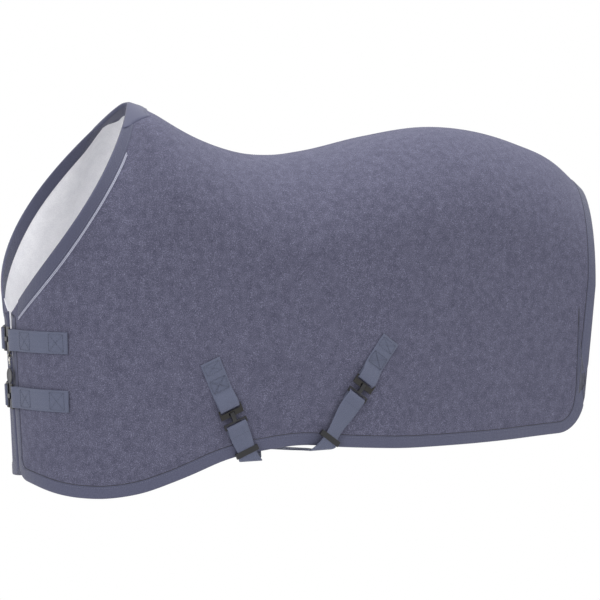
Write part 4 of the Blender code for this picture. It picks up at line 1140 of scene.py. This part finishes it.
def feed(tree, node, inputs):
    """Fills a node's inputs; each is a value or the socket that feeds it."""
    for key, value in inputs.items():
        if isinstance(value, bpy.types.NodeSocket):
            tree.links.new(value, node.inputs[key])
        else:
            node.inputs[key].default_value = value


def add(tree, kind, inputs, output=0, stops=(), **settings):
    """Adds a node with its settings and links, and gives an output; stops are a ramp's places and colours."""
    node = tree.nodes.new("ShaderNode" + kind)
    for key, value in settings.items():
        setattr(node, key, value)
    feed(tree, node, inputs)
    if stops:
        elements = node.color_ramp.elements
        while len(elements) < len(stops):
            elements.new(0.5)
        for element, (place_at, colour) in zip(elements, stops):
            element.position = place_at
            element.color = linear(colour) if isinstance(colour, str) else colour
    return node.outputs[output]


def finished(name, shade):
    """A material whose shade function gives the inputs of its one Principled BSDF."""
    made = bpy.data.materials.new(name)
    made.use_nodes = True
    feed(made.node_tree, made.node_tree.nodes["Principled BSDF"], shade(made.node_tree))
    return made


def fleece(tree):
    """Heathered knitted fleece: mixed light and dark fibres, a faint mottle and a soft nap."""
    looks = bpy.context.scene.fly_sheet
    spot = add(tree, "TexCoord", {}, "Object")
    grain = {"Vector": spot, "Scale": per(looks.fleck_size), "Detail": 3.0, "Roughness": 0.62}
    flecks = add(tree, "TexNoise", grain)
    colour = add(tree, "ValToRGB", {"Fac": flecks}, stops=(
        (0.36, FLEECE_DARK), (0.50, looks.shell_colour), (0.64, FLEECE_LIGHT), (0.72, FLECK)))
    mottle = add(tree, "TexNoise", {"Vector": spot, "Scale": per(17.0)})
    shade = add(tree, "ValToRGB", {"Fac": mottle}, stops=((0.30, "#dcdce0"), (0.70, "#ffffff")))
    # The loops of the knit are about 1 mm, drawn at 1.6 mm so that they show.
    loops = add(tree, "TexNoise", {"Vector": spot, "Scale": per(1.6), "Roughness": 0.7})
    slow = add(tree, "TexNoise", {"Vector": spot, "Scale": per(38.0)})
    height = add(tree, "Math", {0: slow, 1: 1.6, 2: loops}, operation="MULTIPLY_ADD")
    return {
        "Base Color": add(tree, "Mix", {0: 1.0, 6: colour, 7: shade}, 2, **MULTIPLIED),
        "Roughness": add(tree, "Math", {0: flecks, 1: -0.12, 2: 0.95}, operation="MULTIPLY_ADD"),
        "Normal": add(tree, "Bump", {"Height": height, "Distance": looks.nap_depth / 1000.0}),
        "Sheen Weight": 0.18,
        "Sheen Roughness": 0.55,
        "Sheen Tint": linear("#b9bbd4"),
        "Specular IOR Level": 0.15,
    }


def brushed_lining(tree):
    """Light brushed fleece lining."""
    spot = add(tree, "TexCoord", {}, "Object")
    pile = add(tree, "TexNoise", {"Vector": spot, "Scale": per(2.6), "Detail": 3.0, "Roughness": 0.6})
    lining_colour = bpy.context.scene.fly_sheet.lining_colour
    colour = add(tree, "ValToRGB", {"Fac": pile}, stops=((0.35, LINING_DARK), (0.62, lining_colour)))
    cloud = add(tree, "TexNoise", {"Vector": spot, "Scale": per(24.0)})
    shade = add(tree, "ValToRGB", {"Fac": cloud}, stops=((0.3, "#f6f6f7"), (0.7, "#ffffff")))
    return {
        "Base Color": add(tree, "Mix", {0: 1.0, 6: colour, 7: shade}, 2, **MULTIPLIED),
        "Roughness": add(tree, "Math", {0: pile, 1: -0.1, 2: 0.97}, operation="MULTIPLY_ADD"),
        "Normal": add(tree, "Bump", {"Height": pile, "Distance": 0.0006}),
        "Sheen Weight": 0.2,
        "Specular IOR Level": 0.12,
    }


def binding_tape(tree):
    """Smooth woven tape with a fine rib across it."""
    where = add(tree, "UVMap", {}, "UV", uv_map="UVMap")
    along = add(tree, "SeparateXYZ", {"Vector": where}, "X")
    # The real rib is 0.5 mm, drawn at 1.4 mm so that it shows.
    turn = add(tree, "Math", {0: along, 1: 2 * math.pi * per(1.4)}, operation="MULTIPLY")
    rib = add(tree, "Math", {0: turn}, operation="SINE")
    yarn = add(tree, "TexNoise", {"Vector": where, "Scale": per(3.0), "Detail": 3.0, "Roughness": 0.6})
    level = add(tree, "Math", {0: rib, 1: 0.10, 2: yarn}, operation="MULTIPLY_ADD")
    tape_colour = bpy.context.scene.fly_sheet.tape_colour
    waves = add(tree, "TexNoise", {"Vector": where, "Scale": per(9.0)})
    height = add(tree, "Math", {0: waves, 1: 3.0, 2: rib}, operation="MULTIPLY_ADD")
    return {
        "Base Color": add(tree, "ValToRGB", {"Fac": level}, stops=((0.36, TAPE_DARK), (0.62, tape_colour))),
        "Roughness": add(tree, "Math", {0: yarn, 1: -0.2, 2: 0.78}, operation="MULTIPLY_ADD"),
        "Normal": add(tree, "Bump", {"Height": height, "Distance": 0.00012}),
        "Sheen Weight": 0.12,
        "Specular IOR Level": 0.3,
    }


def woven_webbing(tree):
    """Polyester webbing: a herringbone of small ribs with smoother selvedges."""
    where = add(tree, "UVMap", {}, "UV", uv_map="UVMap")
    along = add(tree, "SeparateXYZ", {"Vector": where}, "X")
    across = add(tree, "SeparateXYZ", {"Vector": where}, "Y")
    # Real picks are 0.9 mm apart, drawn at 2.2 mm so that the rows show at arm's length.
    shifted = add(tree, "Math", {0: across, 1: 0.1}, operation="ADD")
    swing = add(tree, "Math", {0: shifted, 1: HERRINGBONE_ROW}, operation="PINGPONG")
    slant = add(tree, "Math", {0: along, 1: swing}, operation="ADD")
    turn = add(tree, "Math", {0: slant, 1: 2 * math.pi * per(2.2)}, operation="MULTIPLY")
    rib = add(tree, "Math", {0: turn}, operation="SINE")
    cord_turn = add(tree, "Math", {0: across, 1: 2 * math.pi * per(1.6)}, operation="MULTIPLY")
    cords = add(tree, "Math", {0: cord_turn}, operation="SINE")
    yarn = add(tree, "TexNoise", {"Vector": where, "Scale": per(1.8), "Detail": 3.0, "Roughness": 0.6})
    level = add(tree, "Math", {0: rib, 1: 0.16, 2: yarn}, operation="MULTIPLY_ADD")
    webbing_colour = bpy.context.scene.fly_sheet.webbing_colour
    height = add(tree, "Math", {0: cords, 1: 0.4, 2: rib}, operation="MULTIPLY_ADD")
    return {
        "Base Color": add(tree, "ValToRGB", {"Fac": level}, stops=((0.30, WEB_DARK), (0.66, webbing_colour))),
        "Roughness": add(tree, "Math", {0: yarn, 1: -0.25, 2: 0.74}, operation="MULTIPLY_ADD"),
        "Normal": add(tree, "Bump", {"Height": height, "Distance": 0.00022}),
        "Sheen Weight": 0.08,
        "Specular IOR Level": 0.35,
    }


def thread_of(light, dark, size=0.9):
    """Twisted thread between two shades; the seam finish uses it for a near-black cord of painted shadow."""
    def shade(tree):
        spot = add(tree, "TexCoord", {}, "Object")
        twist = add(tree, "TexNoise", {"Vector": spot, "Scale": per(size)})
        return {
            "Base Color": add(tree, "ValToRGB", {"Fac": twist}, stops=((0.35, dark), (0.6, light))),
            "Roughness": add(tree, "Math", {0: twist, 1: -0.2, 2: 0.7}, operation="MULTIPLY_ADD"),
            "Normal": add(tree, "Bump", {"Height": twist, "Distance": 0.00015}),
            "Sheen Weight": 0.1,
        }
    return shade


def metal_of(colour, worn_and_highlit, base_roughness, metallic=1.0, coat=0.0):
    """A plated or coated metal, lighter on its edges as wear and as painted highlight, with fine scuffs and
    cloudy gloss.
    """
    def shade(tree):
        spot = add(tree, "TexCoord", {}, "Object")
        cloud = add(tree, "TexNoise", {"Vector": spot, "Scale": per(6.0), "Detail": 3.0})
        scuffs = add(tree, "TexNoise", {"Vector": spot, "Scale": per(0.7), "Detail": 3.0, "Roughness": 0.7})
        # Pointiness puts the lighter colour on the edges: partly wear, partly painted highlight.
        edge = add(tree, "NewGeometry", {}, "Pointiness")
        edge_wear_and_highlight = add(tree, "Math", {0: scuffs, 1: 0.12, 2: edge}, operation="MULTIPLY_ADD")
        return {
            "Base Color": add(tree, "ValToRGB", {"Fac": edge_wear_and_highlight}, stops=((0.62, colour), (0.74, worn_and_highlit))),
            "Roughness": add(tree, "Math", {0: cloud, 1: 0.22, 2: base_roughness}, operation="MULTIPLY_ADD"),
            "Normal": add(tree, "Bump", {"Height": scuffs, "Distance": 0.00002}),
            "Metallic": metallic,
            "Coat Weight": coat,
        }
    return shade


def moulded_disc(tree):
    """Matt moulded plastic with a fine spark-eroded grain."""
    spot = add(tree, "TexCoord", {}, "Object")
    grain = add(tree, "TexNoise", {"Vector": spot, "Scale": per(0.5)})
    cloud = add(tree, "TexNoise", {"Vector": spot, "Scale": per(9.0)})
    return {
        "Base Color": add(tree, "ValToRGB", {"Fac": cloud}, stops=((0.35, "#353538"), (0.65, "#424245"))),
        "Roughness": add(tree, "Math", {0: grain, 1: 0.15, 2: 0.42}, operation="MULTIPLY_ADD"),
        "Normal": add(tree, "Bump", {"Height": grain, "Distance": 0.00003}),
    }


FINISHES = {
    # heathered polyester fleece: soft and matt, with lighter flecks
    "shell": ("heathered_fleece", fleece),
    # brushed fleece: a pale, even inside that brightens the neck opening
    "lining": ("brushed_lining", brushed_lining),
    # woven tape: smoother and darker than the cloth, so the edges read as bound
    "binding": ("binding_tape", binding_tape),
    # light cord: the thin bright line beside the neck tape
    "piping": ("piping_cord", thread_of(PIPING_LIGHT, PIPING_DARK, 1.2)),
    # painted shadow: a near-black cord along the tape's inner edge, standing in for the shadow line where
    # tape meets cloth
    "seam": ("painted_seam_shadow", thread_of(SEAM_SHADOW_COLOUR, "#20212c")),
    # sewing thread: fine stitches, barely darker than the tape
    "thread": ("sewing_thread", thread_of(THREAD_COLOUR, "#4c4e62")),
    # bonded thread: the darker sewn boxes on the webbing
    "web_thread": ("bonded_thread", thread_of(WEB_THREAD_COLOUR, "#33374a")),
    # polyester webbing: bluer than the cloth, with a slight woven lustre
    "webbing": ("woven_webbing", woven_webbing),
    # gunmetal plate: dark metal with soft reflections
    "gunmetal": ("gunmetal_plate", metal_of(GUNMETAL_COLOUR, "#7b7a76", 0.30)),
    # black coated steel: near black, with small painted highlights and wear on its edges
    "black_metal": ("black_coated_steel", metal_of(BLACK_COLOUR, "#3a3b41", 0.30, metallic=0.0, coat=0.05)),
    # bright nickel: the small bright glints of the snap and leaves
    "bright_metal": ("bright_nickel", metal_of(NICKEL_COLOUR, "#dedcd5", 0.16)),
    # moulded plastic: a flat dark grey that doesn't shine
    "disc": ("moulded_disc", moulded_disc),
}


def material(finish):
    name, shade = FINISHES[finish]
    return bpy.data.materials.get(name) or finished(name, shade)


# ---------------------------------------------------------------- stage
AIM = (0.104, 0.0, -0.358)
CAMERA_TURN = -26.0
CAMERA_RISE = 4.0
CAMERA_AWAY = 4.6
CAMERA_LENS = 110.4
FLOOR_Z = -1.55
FLOOR_R = 1.7


def looking(name, data, place_at, target):
    """An object at a place that looks at a target."""
    thing = bpy.data.objects.new(name, data)
    thing.location = place_at
    thing.rotation_euler = (Vector(target) - Vector(place_at)).to_track_quat("-Z", "Y").to_euler()
    bpy.context.scene.collection.objects.link(thing)
    return thing


def soft_light(name, power, size, place_at):
    lamp = bpy.data.lights.new(name, "AREA")
    lamp.energy = power
    lamp.shape = "DISK"
    lamp.size = size
    looking(name, lamp, place_at, AIM)


def backdrop(tree):
    """Matt white paper."""
    spot = add(tree, "TexCoord", {}, "Object")
    fibres = add(tree, "TexNoise", {"Vector": spot, "Scale": per(400.0)})
    return {
        "Base Color": add(tree, "ValToRGB", {"Fac": fibres}, stops=((0.3, "#f4f4f4"), (0.7, "#f8f8f8"))),
        "Roughness": add(tree, "Math", {0: fibres, 1: 0.1, 2: 0.85}, operation="MULTIPLY_ADD"),
    }


def build_stage():
    looks = bpy.context.scene.fly_sheet
    scene = bpy.context.scene
    world = bpy.data.worlds.new("white_studio")
    world.use_nodes = True
    world.node_tree.nodes["Background"].inputs["Color"].default_value = (1.0, 1.0, 1.0, 1.0)
    world.node_tree.nodes["Background"].inputs["Strength"].default_value = looks.surround
    scene.world = world
    scene.view_settings.view_transform = "Standard"
    turn, rise = math.radians(CAMERA_TURN), math.radians(CAMERA_RISE)
    back = Vector((math.sin(turn) * math.cos(rise), -math.cos(turn) * math.cos(rise), math.sin(rise)))
    lens = bpy.data.cameras.new("camera")
    lens.sensor_width = 36.0
    lens.lens = CAMERA_LENS
    scene.camera = looking("camera", lens, Vector(AIM) + back * CAMERA_AWAY, AIM)
    soft_light("key", looks.key_light, 1.6, (-2.9, -2.3, 0.5))
    soft_light("fill", looks.key_light * 0.35, 2.4, (2.6, -2.4, 0.8))
    soft_light("sky", looks.key_light * 2.4, 2.6, (0.3, -0.3, 3.0))
    turns = [2 * math.pi * k / 96 for k in range(96)]
    points = [(FLOOR_R * math.cos(a), FLOOR_R * math.sin(a), FLOOR_Z) for a in turns]
    mesh = bpy.data.meshes.new("floor")
    mesh.from_pydata(points, [], [tuple(range(len(points)))])
    mesh.materials.append(finished("white_paper", backdrop))
    floor = bpy.data.objects.new("floor", mesh)
    scene.collection.objects.link(floor)
    return [floor]


# ---------------------------------------------------------------- the add-on
def colour_setting(name, description, default):
    return FloatVectorProperty(name=name, description=description, default=linear(default), subtype="COLOR",
                               size=4, min=0.0, max=1.0)


class FlySheetLooks(bpy.types.PropertyGroup):
    """The sizes, colours and lights of the sheet that a user would change"""
    shell_colour: colour_setting("Shell colour", "Middle shade of the heathered cloth", FLEECE_MID)
    lining_colour: colour_setting("Lining colour", "Light shade of the brushed lining", LINING_LIGHT)
    tape_colour: colour_setting("Tape colour", "Light shade of the binding tape", TAPE_LIGHT)
    webbing_colour: colour_setting("Webbing colour", "Light shade of the webbing", WEB_LIGHT)
    stitch_pitch: FloatProperty(name="Stitch pitch", description="Length of one stitch and its gap",
                                default=0.0058, min=0.002, max=0.02, unit="LENGTH")
    fleck_size: FloatProperty(name="Fleck size", description="Size of the heather's flecks in millimetres",
                              default=1.8, min=0.5, max=10.0)
    nap_depth: FloatProperty(name="Nap depth", description="Depth of the fleece's surface in millimetres",
                             default=0.9, min=0.0, max=3.0)
    surround: FloatProperty(name="Surround", description="Brightness of the white studio around the sheet",
                            default=1.0, min=0.0, max=5.0)
    key_light: FloatProperty(name="Key light", description="Power of the main soft light, in watts",
                             default=40.0, min=0.0, max=1000.0, unit="POWER")


def building(build, what):
    """An operator's execute: builds a group of pieces and raises an error when there are none."""
    def execute(self, context):
        made = build()
        if not made:
            raise RuntimeError(f"{what}: nothing was built")
        self.report({"INFO"}, f"{what}: {len(made)} pieces")
        return {"FINISHED"}
    return execute


class FLYSHEET_OT_cloth(bpy.types.Operator):
    """Build the shell and the lining of both sides"""
    bl_idname = "fly_sheet.cloth"
    bl_label = "Cloth"
    execute = building(build_cloth, "cloth")


class FLYSHEET_OT_bindings(bpy.types.Operator):
    """Build the bound edges, the neck piping and their stitching"""
    bl_idname = "fly_sheet.bindings"
    bl_label = "Bindings"
    execute = building(build_bindings, "bindings")


class FLYSHEET_OT_withers(bpy.types.Operator):
    """Build the withers patch and the stitching along the back seam"""
    bl_idname = "fly_sheet.withers"
    bl_label = "Withers"
    execute = building(build_withers, "withers")


class FLYSHEET_OT_webbing(bpy.types.Operator):
    """Build the tabs, belly straps and chest straps"""
    bl_idname = "fly_sheet.webbing"
    bl_label = "Webbing"
    execute = building(build_webbing, "webbing")


class FLYSHEET_OT_clips(bpy.types.Operator):
    """Build the metal clips and keepers"""
    bl_idname = "fly_sheet.clips"
    bl_label = "Clips"
    execute = building(build_clips, "clips")


class FLYSHEET_OT_charm(bpy.types.Operator):
    """Build the trigger snap and the hanging tag"""
    bl_idname = "fly_sheet.charm"
    bl_label = "Charm"
    execute = building(build_charm, "charm")


class FLYSHEET_OT_stage(bpy.types.Operator):
    """Set up the white studio, the lights and the camera"""
    bl_idname = "fly_sheet.stage"
    bl_label = "Stage"
    execute = building(build_stage, "stage")


OPERATORS = (FLYSHEET_OT_cloth, FLYSHEET_OT_bindings, FLYSHEET_OT_withers, FLYSHEET_OT_webbing,
             FLYSHEET_OT_clips, FLYSHEET_OT_charm, FLYSHEET_OT_stage)


class FLYSHEET_PT_panel(bpy.types.Panel):
    """The sheet's settings and the buttons that build it"""
    bl_idname = "FLYSHEET_PT_panel"
    bl_label = "Fly Sheet"
    bl_space_type = "VIEW_3D"
    bl_region_type = "UI"
    bl_category = "Fly Sheet"

    def draw(self, context):
        for name in FlySheetLooks.__annotations__:
            self.layout.prop(context.scene.fly_sheet, name)
        for operator in OPERATORS:
            self.layout.operator(operator.bl_idname)


def register():
    for kind in (FlySheetLooks, *OPERATORS, FLYSHEET_PT_panel):
        bpy.utils.register_class(kind)
    bpy.types.Scene.fly_sheet = PointerProperty(type=FlySheetLooks)


def unregister():
    del bpy.types.Scene.fly_sheet
    for kind in reversed((FlySheetLooks, *OPERATORS, FLYSHEET_PT_panel)):
        bpy.utils.unregister_class(kind)


def main():
    register()
    for step in (bpy.ops.fly_sheet.cloth, bpy.ops.fly_sheet.bindings, bpy.ops.fly_sheet.withers,
                 bpy.ops.fly_sheet.webbing, bpy.ops.fly_sheet.clips, bpy.ops.fly_sheet.charm,
                 bpy.ops.fly_sheet.stage):
        if step() != {"FINISHED"}:
            raise RuntimeError("a step of the sheet didn't finish")


if __name__ == "__main__":
    main()
